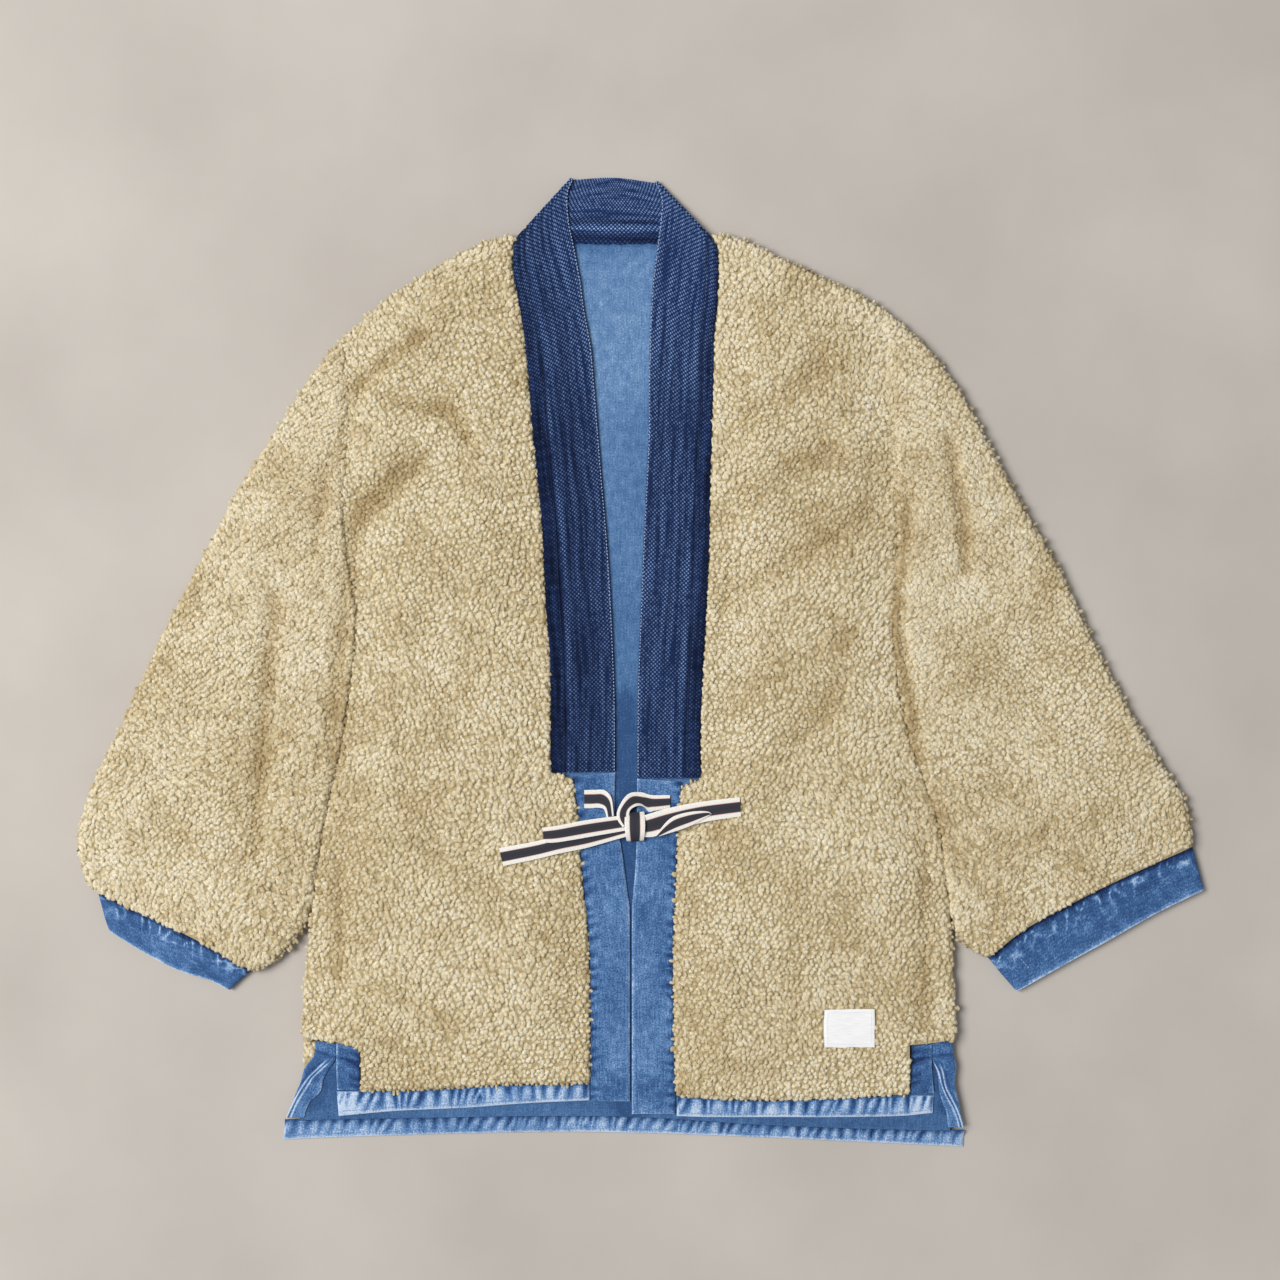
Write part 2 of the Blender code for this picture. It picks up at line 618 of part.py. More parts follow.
def vent(name, rows):
    """Denim that faces a side vent, thinner at its slit, where it is turned under."""
    upper, lower = [], []
    for x1, y1, x2, y2 in rows:
        ends = np.array([(x1 + CURVE_GAP, y1), (x2 - CURVE_GAP, y2)])
        places = [ends[0], ends.mean(axis=0), ends[1]]
        lift = (0.7, 1, 1) if x1 < 0 else (1, 1, 0.7)
        upper.append([(*place, FRONT_FLOOR + BAND * share) for place, share in zip(places, lift)])
        lower.append([(*place, FRONT_FLOOR) for place in places])
    return slab(name, upper, lower, "denim_mid")


def build_body():
    """Back, lining and the two fronts."""
    half = CURVE_GAP / 2
    armhole_r = [(x + half, y) for x, y in ARMHOLE_R]
    side_r = [(x + half, y) for x, y in SIDE_R]
    armhole_l = [(x - half, y) for x, y in ARMHOLE_L]
    side_l = [(x - half, y) for x, y in SIDE_L]
    flare_r = side_r[:-1] + [(-325, -403), (-341, -436)]
    flare_l = side_l[:-1] + [(300, -400), (307, -446)]
    neckline = np.vstack([smooth(SHOULDER_R), smooth(NECK_SEAM), smooth(SHOULDER_L)])
    back = patch(along(neckline[::6]), along(BACK_HEM_SEAM),
                 downward(armhole_r, flare_r), downward(armhole_l, flare_l))
    armpits = [BACK_LENGTH * fall_to(ARMHOLE_R[-1], SHOULDER_R[0], BACK_HEM_SEAM[0]),
               BACK_LENGTH * fall_to(ARMHOLE_L[-1], SHOULDER_L[-1], BACK_HEM_SEAM[-1])]
    steps = with_rows_at(spread(BACK_LENGTH, [0, 3, EDGE_ROUND], 15), armpits, 8)
    back_panel("back", back, steps, FLEECE, 0, 0, "fleece_sand", 9)
    steps = with_rows_at(np.linspace(0, BACK_LENGTH, 14), armpits, 8)
    back_panel("back_lining", back, steps, LINING, LINING_FLOOR, LINING_INSET, "denim_light", 3)

    front_right = patch(along(SHOULDER_R), along(HEM_SEAM_R),
                        downward(armhole_r, side_r), downward([*COLLAR_SEAM_R, (-87, -109)], BAND_SEAM_R))
    front_left = patch(along(SHOULDER_L), along(HEM_SEAM_L),
                       downward([*COLLAR_SEAM_L, (55, -113.5)], BAND_SEAM_L), downward(armhole_l, side_l))
    steps = spread(FRONT_LENGTH, [0, 3, EDGE_ROUND], 21)
    marks_r = [FRONT_LENGTH * fall_to((0, y), COLLAR_SEAM_R[0], BAND_SEAM_R[-1])
               for y in (380, -108.6, -110.6)]
    marks_l = [FRONT_LENGTH * fall_to((0, y), COLLAR_SEAM_L[0], BAND_SEAM_L[-1])
               for y in (380, -113.2, -115.2)]
    marks_r.append(FRONT_LENGTH * fall_to(ARMHOLE_R[-1], SHOULDER_R[0], HEM_SEAM_R[0]))
    marks_l.append(FRONT_LENGTH * fall_to(ARMHOLE_L[-1], SHOULDER_L[-1], HEM_SEAM_L[-1]))
    return (front("front_right", front_right, with_rows_at(steps, marks_r, 12), VENT_CUT_R, 9),
            front("front_left", front_left, with_rows_at(steps, marks_l, 12), VENT_CUT_L, 9))


def build_sleeves():
    """Sleeves and cuffs. Each edge is moved off the body by half a seam's gap, to the side that away says."""
    steps = spread(SLEEVE_LENGTH, [0, 3, 8], 15)
    for side, away, edges in (("right", -CURVE_GAP / 2, SLEEVE_R), ("left", CURVE_GAP / 2, SLEEVE_L)):

        def moved(name, drop=0.0):
            return along([(x + away, y - drop) for x, y in edges[name]])

        sleeve = patch(moved("armhole"), moved("cuff seam"), moved("top"), moved("under"))
        flat_tube("sleeve_" + side, sleeve, steps, SLEEVE_WALL, SLEEVE_HEIGHT, SLEEVE_FOLD, SLEEVE_LOFT,
                  SLEEVE_DIP, "fleece_sand", 10, 8)
        cuff = patch(moved("cuff seam", CURVE_GAP), moved("cuff opening", CURVE_GAP),
                     moved("cuff outer", CURVE_GAP), moved("cuff inner", CURVE_GAP))
        flat_tube("cuff_" + side, cuff, CUFF_STEPS, CUFF_WALL, CUFF_HEIGHT, CUFF_FOLD, 0, 0,
                  "denim_mid", edges["cuff columns"], edges["cuff floor columns"])


def build_bands():
    """Front edge bands, hem bands and vent facings."""
    inside = 2 * SEAM_GAP
    edge_right = band("edge_band_right", shifted(along([*BAND_SEAM_R, BAND_FOOT_R]), inside), along(BAND_FREE_R),
                      FRONT_FLOOR, pucker_steps(BAND_SEAM_R))
    edge_left = band("edge_band_left", shifted(along([*BAND_SEAM_L, BAND_FOOT_L]), -inside), along(BAND_FREE_L),
                     FRONT_FLOOR, pucker_steps(BAND_SEAM_L))

    def lowered(points, by=inside):
        return along([(x, y - by) for x, y in points])

    band("hem_band_right", lowered([(min(x, -50 - inside), y) for x, y in FRONT_HEM_SEAM_R]),
         along([(min(x, -50 - inside), y) for x, y in FRONT_HEM_EDGE_R]),
         FRONT_FLOOR, pucker_steps(FRONT_HEM_SEAM_R))
    band("hem_band_left", lowered([(max(x, 32 + inside), y) for x, y in FRONT_HEM_SEAM_L]),
         along([(max(x, 32 + inside), y) for x, y in FRONT_HEM_EDGE_L]),
         FRONT_FLOOR, pucker_steps(FRONT_HEM_SEAM_L))
    band("hem_band_back", lowered(BACK_HEM_SEAM, 1.0), along(BACK_HEM_EDGE), 0.0,
         pucker_steps(BACK_HEM_SEAM), across=(0, 0.3, 1), drop=3.6)
    for name, rows in (("vent_front_right", VENT_FRONT_R), ("vent_front_left", VENT_FRONT_L),
                       ("vent_back_right", VENT_BACK_R), ("vent_back_left", VENT_BACK_L)):
        vent(name, rows)
    return edge_right, edge_left


def build_tie(cloth):
    """The two tape ties, knotted in front, with their free ends laid out to the sides."""
    trees = [mesh_tree(made) for made in cloth]
    knot(trees)
    for name, route, count in (("tie_end_right", TIE_STITCHED_R, 4), ("tie_end_left", TIE_STITCHED_L, 4),
                               ("tie_tail_lower", TIE_TAIL_LOWER, 10), ("tie_tail_upper", TIE_TAIL_UPPER, 8),
                               ("tie_tail_left", TIE_TAIL_LEFT, 9)):
        trees.append(mesh_tree(tape(name, route, trees, count)))
    label(trees)


def main():
    for old in list(bpy.data.objects):
        bpy.data.objects.remove(old)
    fronts = build_body()
    build_sleeves()
    edges = build_bands()
    collar()
    build_tie([*fronts, *edges])


main()
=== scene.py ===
"""Looks of the kimono jacket laid flat, front up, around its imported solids.

Tables are in millimetres, as a maker would measure the jacket on the table, and MM turns them into metres.
+Y runs from the hem to the neck, -X is the wearer's right.
"""

from __future__ import annotations

import logging
import math
from collections.abc import Callable
from dataclasses import dataclass
from enum import Enum

import bpy
import numpy as np
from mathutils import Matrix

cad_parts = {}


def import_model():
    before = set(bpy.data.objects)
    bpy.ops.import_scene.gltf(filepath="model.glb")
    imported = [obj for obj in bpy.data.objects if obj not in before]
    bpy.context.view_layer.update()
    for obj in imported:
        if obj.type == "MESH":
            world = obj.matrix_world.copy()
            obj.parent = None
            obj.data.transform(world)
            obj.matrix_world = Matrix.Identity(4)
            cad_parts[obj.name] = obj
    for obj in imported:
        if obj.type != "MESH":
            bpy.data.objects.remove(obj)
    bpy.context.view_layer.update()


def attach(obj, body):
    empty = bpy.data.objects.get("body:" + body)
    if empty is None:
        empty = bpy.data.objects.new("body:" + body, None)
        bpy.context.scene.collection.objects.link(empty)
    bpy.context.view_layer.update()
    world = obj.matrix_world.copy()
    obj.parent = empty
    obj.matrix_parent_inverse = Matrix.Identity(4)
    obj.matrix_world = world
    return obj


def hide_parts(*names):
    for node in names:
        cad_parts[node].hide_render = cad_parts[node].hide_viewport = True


LOG = logging.getLogger("kimono_jacket")

Array = np.ndarray
Points = list[tuple[float, float]]
Edge = Callable[[Array], Array]
Cloth = Callable[[Array, Array], Array]
Piece = bpy.types.Object
Socket = bpy.types.NodeSocket
# A finish's colour, its bump's height, strength and distance, and the shader's own values.
Look = tuple[Socket, tuple, dict[str, float]]

MM = 0.001
BODY = "root"

# Centre of the laid jacket's box in the tables' millimetres.
CENTRE_X = -0.5
CENTRE_Y = -1.5

# Heights of the layers over the floor, as in the solids.
FLEECE = 6.0
LINING_FLOOR = 6.3
FRONT_FLOOR = 7.8
FRONT_LOFT = 3.5
BAND = 2.6
COLLAR = 3.0
SEAM_GAP = 0.3
CURVE_GAP = 0.6

# How deep the curls stand on the fleece's knitted ground, and how far everything stays over the floor.
PILE_DEPTH = 2.2
CLEARANCE = 0.1

# The puckers' height that leaves the cloth as thick and as worn as it was.
RIDGE_LEVEL = 0.8

# Faces that meet more bluntly than this are shaded as one surface.
SMOOTH_ANGLE = math.radians(60)

# Outlines, each from the neck down or from the wearer's right to left: (x, y).
SHOULDER_R = [(-282, 309), (-247, 340), (-215, 362), (-184, 381), (-152, 397), (-122, 404)]
ARMHOLE_R = [(-282, 309), (-285, 262), (-287, 205), (-286, 150), (-281, 95), (-272, 45)]
SIDE_R = [(-272, 45), (-278, -22), (-289, -95), (-300, -143), (-308, -189), (-314, -234),
          (-319, -288), (-323, -330), (-323, -410)]
COLLAR_SEAM_R = [(-122, 404), (-123, 373), (-118, 343), (-112, 307), (-108, 267), (-105, 229),
                 (-100, 178), (-95, 127), (-92, 59), (-88, 9), (-87, -40), (-87, -106)]
BAND_SEAM_R = [(-67, -110), (-62, -143), (-59, -189), (-55, -232), (-51, -270), (-50, -337), (-50, -402)]
HEM_SEAM_R = [(-323, -410), (-267, -409), (-207, -408), (-167, -405), (-123, -403), (-50, -402)]

SHOULDER_L = [(68, 404), (91, 402), (111, 393), (133, 382), (181, 360), (209, 346), (229, 334)]
ARMHOLE_L = [(229, 334), (236, 270), (241, 200), (243, 130), (242, 80), (238, 31)]
SIDE_L = [(238, 31), (244, -28), (256, -80), (271, -123), (283, -161), (288, -200), (293, -240),
          (296, -290), (299, -356), (300, -413)]
COLLAR_SEAM_L = [(68, 404), (72, 385), (71, 343), (68, 309), (67, 266), (66, 229), (64, 162),
                 (63, 110), (60, 43), (57, -9), (55, -60), (55, -111)]
BAND_SEAM_L = [(38, -115), (36, -143), (33, -189), (32, -227), (30, -275), (30, -337), (32, -414)]
HEM_SEAM_L = [(32, -414), (85, -417), (131, -418), (207, -415), (249, -413), (300, -413)]

# Front corners cut away for the vents: how far in the cut reaches, and its top edge (x, y).
VENT_CUT_R = {"x": -268, "edge": [(-330, -355), (-309, -357), (-292, -362), (-268, -368)]}
# The ledge over the right vent, which the curls close over.
VENT_LEDGE_R = [(-320, -355.3), (-309, -356.2), (-294, -360.0)]
VENT_CUT_L = {"x": 254, "edge": [(254, -365), (280, -363), (305, -358)]}

# Inner, free edges of the collar's arms and of the front bands.
COLLAR_FREE_R = [(-66, 459), (-71, 445), (-70, 420), (-65, 395), (-59, 362), (-55, 333), (-49, 300),
                 (-46, 266), (-43, 229), (-39, 178), (-32, 93), (-27, -9), (-26, -60), (-26, -105)]
COLLAR_FREE_L = [(12, 456), (18, 440), (17, 418), (13, 387), (9, 351), (7, 309), (6, 266),
                 (6, 229), (4, 178), (0, 93), (-4, -9), (-5, -60), (-5, -111)]
BAND_FREE_R = [(-26, -106), (-26, -146), (-20, -178), (-14, -223), (-12, -251), (-12, -419)]
BAND_FREE_L = [(-5, -112), (-6, -181), (-9, -223), (-10, -251), (-10, -431)]
COLLAR_TOP = [(-66, 459), (-27, 461), (12, 456)]
NECK_SEAM = [(-122, 404), (-70, 399), (-27, 398), (20, 399), (68, 404)]

# Sleeves: shoulder edge, underarm edge, which starts along the body's side, and cuff seam; then the cuff's
# ends and opening.
SLEEVE_TOP_R = [(-282, 309), (-313, 272), (-339, 232), (-376, 175), (-415, 103), (-458, 20),
                (-496, -63), (-518, -108), (-532, -146), (-536, -178), (-530, -205), (-518, -219)]
SLEEVE_UNDER_R = [*SIDE_R[:6], (-325, -258), (-342, -278), (-356, -290), (-372, -294)]
CUFF_SEAM_R = [(-518, -219), (-470, -242), (-420, -267), (-372, -294)]
CUFF_OUTER_R = [(-519, -219), (-512, -245), (-508, -256)]
CUFF_INNER_R = [(-372, -294), (-383, -303.5), (-393, -313)]
CUFF_OPEN_R = [(-508, -256), (-472, -278), (-441, -294), (-411, -303.5), (-393, -313)]

SLEEVE_TOP_L = [(229, 334), (266, 302), (300, 258), (328, 208), (360, 149), (394, 91), (435, 6),
                (482, -80), (515, -132), (524, -176)]
SLEEVE_UNDER_L = [*SIDE_L[:7], (301, -263), (315, -276), (329, -282)]
CUFF_SEAM_L = [(524, -176), (472, -199), (422, -223), (365, -254), (329, -282)]
CUFF_OUTER_L = [(524, -176), (530, -198), (535, -217)]
CUFF_INNER_L = [(329, -282), (342, -298), (356, -314)]
CUFF_OPEN_L = [(535, -217), (488, -240), (444, -265), (411, -283), (356, -314)]

# Hems: the seam with the cloth above, and the band's lower edge.
BACK_HEM_SEAM = [(-341, -436), (-230, -434), (-100, -432), (0, -433), (110, -440), (210, -444),
                 (307, -446)]
BACK_HEM_EDGE = [(-343, -457), (-230, -453), (-97, -450), (-2, -451), (112, -455), (306, -464)]
FRONT_HEM_SEAM_R = [(-291, -409), *HEM_SEAM_R[1:]]
FRONT_HEM_EDGE_R = [(-289, -433), (-232, -428), (-167, -425), (-113, -421), (-50, -418)]
FRONT_HEM_SEAM_L = [*HEM_SEAM_L[:-1], (277, -413)]
FRONT_HEM_EDGE_L = [(32, -433), (63, -434), (131, -434), (183, -434), (244, -433), (276, -430)]

# Denim that faces the side vents, each row (x, y) at one edge and (x, y) at the other.
VENT_FRONT_R = [(-292, -363, -268, -369.5), (-292, -385, -268, -387), (-291, -408, -268, -408)]
VENT_FRONT_L = [(254, -366.5, 276, -365), (254, -385, 276, -385), (254, -411, 278, -411)]

# The back's vent facings: outer edge, stitched fold and inner edge.
VENT_FLAPS = {
    "vent_back_right": (
        [(-310, -357), (-311.5, -369.5), (-313, -376), (-320.5, -385.5), (-323.5, -393), (-325.5, -401),
         (-331, -414), (-339, -434)],
        [(-291.5, -363), (-293, -371.5), (-296, -378), (-306.5, -387.5), (-317, -398), (-326.5, -413),
         (-333.5, -427), (-337, -434.5)],
        [(-291, -364), (-291.5, -375.5), (-292.5, -380), (-303, -396), (-306.5, -409.5), (-316, -419),
         (-320.5, -428), (-322, -434.5)],
    ),
    "vent_back_left": (
        [(295, -360.5), (296, -375), (298.5, -385.5), (297, -400), (298.5, -409.5), (300.5, -418), (304, -435),
         (305.8, -443.5)],
        [(276, -362), (276.5, -378), (279.5, -383), (283.5, -391.5), (287, -405.5), (292, -416), (296.5, -424.5),
         (300.5, -435), (303, -443.5)],
        [(275.8, -362.5), (276, -379), (277.5, -384), (281, -394), (282.5, -409), (285.5, -420), (289, -428.5),
         (291, -443.5)],
    ),
}

# Creases pressed into the cloth: their route, depth and half width. The fleece's curls are also painted darker along
# them, as shade.
CREASES = [
    ([(-191, 242), (-171, 218)], 1.6, 12),
    ([(-211, 186), (-267, 133)], 2.6, 10),
    ([(-289, -190), (-289, -307)], 1.6, 6),
    ([(-348, 58), (-358, -39), (-366, -180)], 2.6, 9),
    ([(291, 210), (297, 173), (306, 121), (307, 86)], 3.0, 8),
    ([(268, -175), (268, -352)], 1.6, 6),
    ([(196, 20), (168, -60)], 1.4, 14),
    ([(-208, 312), (-240, 288), (-271, 260)], 2.4, 7),
    ([(-271, 260), (-300, 173), (-311, 104)], 1.6, 8),
    ([(-243, 249), (-181, 237), (-164, 208)], 1.8, 9),
    ([(-231, 183), (-271, 145), (-277, 87), (-284, 24), (-294, -57), (-291, -86)], 2.2, 10),
    ([(-231, -68), (-226, -138)], 1.2, 6),
    ([(-226, -323), (-178, -347)], 1.4, 9),
    ([(79, 208), (170, 277)], 1.5, 16),
    ([(79, 139), (181, 197)], 1.5, 14),
    ([(79, 58), (214, 139)], 1.6, 15),
    ([(79, -46), (181, 24)], 1.4, 16),
    ([(251, 150), (248, 104), (241, 35), (251, -23), (262, -92)], 3.4, 7),
    ([(277, -138), (311, -207), (350, -230)], 1.6, 9),
]

LABEL_CORNERS = {"x": (172, 220), "y": (-366, -330)}

# Tie tapes by their two selvedges, (x, y, height): one route along each side of the tape.
TIE_RIBBONS = {
    "tie_end_right": [
        [(-55.4, -122.6, 12.1), (-45, -122.4, 12.1), (-36, -122.8, 12.2), (-29.5, -130, 13.2), (-27.2, -147, 13.8)],
        [(-55.4, -139.8, 12.1), (-49, -139.8, 12.1), (-42, -139.4, 12.2), (-36.5, -141, 12.8), (-34, -149, 13.4)],
    ],
    "tie_tail_lower": [
        [(-136, -177.2, 18.3), (-100, -170.4, 18.3), (-78.4, -164.5, 18.2), (-54, -160.5, 16.6), (-34, -157, 15),
         (-17, -152, 14.6)],
        [(-132, -194.2, 18.3), (-100, -187.4, 18.3), (-78.4, -182.2, 18.3), (-54.2, -177.4, 16.8),
         (-32.3, -171.4, 15), (-19, -167.6, 14.8), (-12, -166, 14.8)],
    ],
    "tie_tail_upper": [
        [(-95, -157.8, 19.6), (-78.4, -155.4, 19.6), (-54.2, -150.8, 18.4), (-26.1, -147.2, 16.8), (-14, -147, 17.2)],
        [(-92.6, -172, 19.6), (-78.4, -171.2, 19.6), (-42.3, -165.2, 18), (-17.8, -161, 16.6), (-10, -159.5, 16.8)],
    ],
    "tie_tail_left": [
        [(-10, -150, 17.6), (6.2, -144.7, 17.6), (24.2, -139.4, 17.4), (54.6, -133.4, 18.2), (92, -128.9, 18.8)],
        [(-4, -166, 16.8), (1.4, -166.7, 17), (10.9, -166.3, 17), (30.9, -160.6, 17.2), (48.9, -154.9, 18.2),
         (66, -151, 18.8), (93.4, -147, 18.8)],
    ],
    "tie_end_left": [
        [(26.1, -127.4, 12.1), (9, -127.4, 12.1), (-0.5, -124.8, 12.6), (-10.9, -125, 14), (-17.6, -130, 16),
         (-23.8, -141.5, 17.6), (-23.8, -150, 18), (-19, -157.3, 18)],
        [(26.1, -139.9, 12.1), (12, -142.2, 12.1), (6.2, -143.3, 12.6), (1.4, -138.6, 14), (-4.3, -137.2, 16),
         (-10.9, -140.4, 17.6), (-12.8, -146.3, 18.2), (-10.5, -154, 18.4)],
    ],
    "tie_loop": [
        [(12.5, -165.3, 18.8), (21, -154, 19.6), (29, -147.2, 20), (41, -143.4, 20.2), (53, -141.9, 20.4),
         (62, -142.4, 20.4), (65.5, -144.6, 20.2)],
        [(16, -165.9, 18.8), (27, -162.4, 19.2), (37, -159.2, 19.4), (47, -155.2, 19.6), (56, -150.6, 19.8),
         (62, -147, 20), (65, -145.6, 20)],
    ],
    "tie_knot": [
        [(-16.6, -143.9, 14.6), (-16.8, -147.4, 18.2), (-17, -152.4, 20.2), (-16.8, -158.4, 20.6),
         (-16.2, -164.4, 19.6), (-15.2, -169.8, 16), (-14.6, -171.4, 12.6)],
        [(1.6, -142.9, 14.6), (2.2, -147.4, 18.2), (2.4, -152.4, 20.2), (2.4, -158.4, 20.6), (2.0, -164.4, 19.6),
         (1.2, -169.3, 16), (0.8, -170.9, 12.6)],
    ],
}


def smooth(points: list[tuple[float, ...]], per_span: int = 8) -> Array:
    """Rounds a row of points like laid cloth, in per_span steps from one point to the next."""
    known = np.array(points, float)
    ends = np.vstack([2 * known[0] - known[1], known, 2 * known[-1] - known[-2]])
    t = np.linspace(0, 1, per_span, endpoint=False)[:, None]
    found = [0.5 * (2 * b + (c - a) * t + (2 * a - 5 * b + 4 * c - d) * t**2 + (3 * b - a - 3 * c + d) * t**3)
             for a, b, c, d in zip(ends, ends[1:], ends[2:], ends[3:])]
    return np.vstack([*found, known[-1:]])


def steps(points: Array, axis: int = 0) -> Array:
    """Distances from each point to the next one, along an axis of a table."""
    return np.linalg.norm(np.diff(points, axis=axis), axis=-1)


def travelled(points: Array) -> Array:
    """Distances from the first point of a row, along the row."""
    return np.concatenate([[0], np.cumsum(steps(points))])


def travelled_across(table: Array) -> Array:
    """Distances from the first column of a table, along each row."""
    return np.concatenate([np.zeros((len(table), 1)), np.cumsum(steps(table, 1), axis=1)], axis=1)


def bell(number: Array) -> Array:
    """1 at 0, fading to both sides within about 2."""
    return np.exp(-(number**2))


def shifted(points: Points, dx: float = 0.0, dy: float = 0.0) -> Points:
    """A row of points moved as one."""
    return [(x + dx, y + dy) for x, y in points]


def follow(route: Array) -> Edge:
    """Turns a close row of points into a function of the share of its length, from 0..1 to points."""
    reached = travelled(route) / steps(route).sum()
    return lambda t: np.stack([np.interp(t, reached, axis) for axis in route.T], axis=-1)


def along(points: list[tuple[float, ...]]) -> Edge:
    """A function from 0..1 to the point that far along the smoothed curve."""
    return follow(smooth(points))


def downward(*stretches: list[tuple[float, ...]]) -> Edge:
    """Turns an edge, given in stretches, into a function of the share of its fall in y."""
    route = np.vstack([smooth(points) for points in stretches])
    fall = np.maximum.accumulate((route[0, 1] - route[:, 1]) / (route[0, 1] - route[-1, 1]))
    return lambda t: np.stack([np.interp(t, fall, axis) for axis in route.T], axis=-1)


def coons(top: Edge, bottom: Edge, left: Edge, right: Edge) -> Cloth:
    """Fills the cloth between four edges.

    Args:
        top: Upper edge.
        bottom: Lower edge.
        left: Edge at the lower x, or the outer one.
        right: Edge across from it.

    Returns:
        A function from (across, down), each 0..1, to points.
    """
    zero, one = np.zeros(1), np.ones(1)
    corners = top(zero), top(one), bottom(zero), bottom(one)

    def place(u: Array, v: Array) -> Array:
        """The cloth's points at shares u across and v down."""
        a, d = u[..., None], v[..., None]
        across = (1 - d) * top(u) + d * bottom(u)
        down = (1 - a) * left(v) + a * right(v)
        flat = (1 - d) * ((1 - a) * corners[0] + a * corners[1]) + d * ((1 - a) * corners[2] + a * corners[3])
        return across + down - flat

    return place


def width_at(cloth: Cloth, v: float) -> float:
    """The cloth's width at a share v of its length."""
    return float(np.linalg.norm(cloth(np.ones(1), np.full(1, v)) - cloth(np.zeros(1), np.full(1, v))))


def between(start: Array, end: Array, share: Array) -> Array:
    """Rows of points from one edge to the other, at shares of the way."""
    return start[:, None] + (end - start)[:, None] * share[None, :, None]


def rise(distance: Array, reach: float) -> Array:
    """0 at an edge, 1 from reach inwards, with a soft start and end."""
    share = np.clip(distance / reach, 0, 1)
    return share * share * (3 - 2 * share)


def roll(distance: Array, radius: float) -> Array:
    """Height share of a rounded edge: 0 at the edge, 1 from radius inwards."""
    share = 1 - np.clip(distance, 0, radius) / radius
    return np.sqrt(np.clip(1 - share * share, 0, 1))


def to_route(points: Array, route: Points) -> Array:
    """Distances from points, whose last axis is (x, y), to a polyline."""
    nearest = np.full(points.shape[:-1], np.inf)
    for start, end in zip(route, route[1:]):
        a, b = np.array(start, float), np.array(end, float)
        share = np.clip(((points - a) @ (b - a)) / ((b - a) @ (b - a)), 0, 1)
        nearest = np.minimum(nearest, np.linalg.norm(points - a - share[..., None] * (b - a), axis=-1))
    return nearest


def pressed(points: Array) -> Array:
    """How far the creases press the cloth down at points, in millimetres."""
    return sum(depth * bell(to_route(points, route) / reach) for route, depth, reach in CREASES)


class Drift:
    """Smooth seeded variation from -1 to 1 over the tables' plane, repeated after size steps of its pitch."""

    size = 64
    # Keeps the lattice's numbers above zero.
    origin = 1000.0

    def __init__(self, seed: int, pitch: float) -> None:
        """Draws the variation's lattice, pitch millimetres apart."""
        self.lattice = np.random.default_rng(seed).uniform(-1, 1, (self.size, self.size))
        self.pitch = pitch

    def __call__(self, points: Array) -> Array:
        """The variation at points, whose last axis starts with (x, y)."""
        gx, gy = points[..., 0] / self.pitch + self.origin, points[..., 1] / self.pitch + self.origin
        i, j = np.floor(gx).astype(int), np.floor(gy).astype(int)
        fx, fy = rise(gx - i, 1), rise(gy - j, 1)
        near_i, far_i, near_j, far_j = (number % self.size for number in (i, i + 1, j, j + 1))
        low = self.lattice[near_i, near_j] * (1 - fx) + self.lattice[far_i, near_j] * fx
        high = self.lattice[near_i, far_j] * (1 - fx) + self.lattice[far_i, far_j] * fx
        return low * (1 - fy) + high * fy


def swell(points: Array) -> Array:
    """How far the laid cloth billows up or down between its creases, in millimetres."""
    return 1.5 * Drift(91, 75)(points) + 0.8 * Drift(92, 34)(points)


def spread(length: float, rim: list[float], middle: int) -> Array:
    """Distances along a length: close together at both ends as rim says, with middle even ones between."""
    inside = np.linspace(rim[-1], length - rim[-1], middle)
    return np.concatenate([rim[:-1], inside, [length - step for step in rim[-2::-1]]])


def lay_out(cloth: Cloth, downs: Array, shares: Array, inset: float, rim: list[float],
            columns: int) -> Array:
    """Lays a panel out in rows that are close together at its edges.

    Args:
        cloth: The panel's shape.
        downs: Distances of the rows from its upper end.
        shares: The same as shares of its length.
        inset: How far its sides stay inside the seams.
        rim: Distances of the first columns from each side.
        columns: Columns between the rims.

    Returns:
        Rows and columns of (x, y, distance from the edge).
    """
    rows = []
    for down, v in zip(downs, shares):
        width = width_at(cloth, v)
        across = spread(width - 2 * inset, rim, columns)
        place = cloth((across + inset) / width, np.full(len(across), v))
        distance = np.minimum(np.minimum(across, width - 2 * inset - across), min(down, downs[-1] - down))
        rows.append(np.column_stack([place, distance]))
    return np.array(rows)


def metres(points: Array) -> Array:
    """The tables' millimetres as metres of the part's frame."""
    return (np.asarray(points, float).reshape(-1, 3) - (CENTRE_X, CENTRE_Y, 0)) * MM


def linear(colour: str) -> tuple[float, float, float, float]:
    """Turns an sRGB colour such as #C9BB92 into the linear colour, with alpha, that a shader takes."""
    parts = [int(colour[k:k + 2], 16) / 255 for k in (1, 3, 5)]
    return (*(p / 12.92 if p <= 0.04045 else ((p + 0.055) / 1.055) ** 2.4 for p in parts), 1.0)


def add_node(tree: bpy.types.NodeTree, kind: str, inputs: dict | None = None,
             stops: list[tuple[float, str]] | None = None, **settings: object) -> bpy.types.Node:
    """Adds a shader node with its settings and links.

    Args:
        tree: The material's node tree.
        kind: The node's type name.
        inputs: Values or sockets, by input name or number.
        stops: Places and sRGB colours of a colour ramp.
        settings: The node's own properties.

    Returns:
        The node.
    """
    node = tree.nodes.new(kind)
    for name, value in settings.items():
        setattr(node, name, value)
    for name, value in (inputs or {}).items():
        if isinstance(value, Socket):
            tree.links.new(value, node.inputs[name])
        else:
            node.inputs[name].default_value = value
    for index, (place, colour) in enumerate(stops or []):
        elements = node.color_ramp.elements
        element = elements[index] if index < 2 else elements.new(place)
        element.position, element.color = place, linear(colour)
    return node


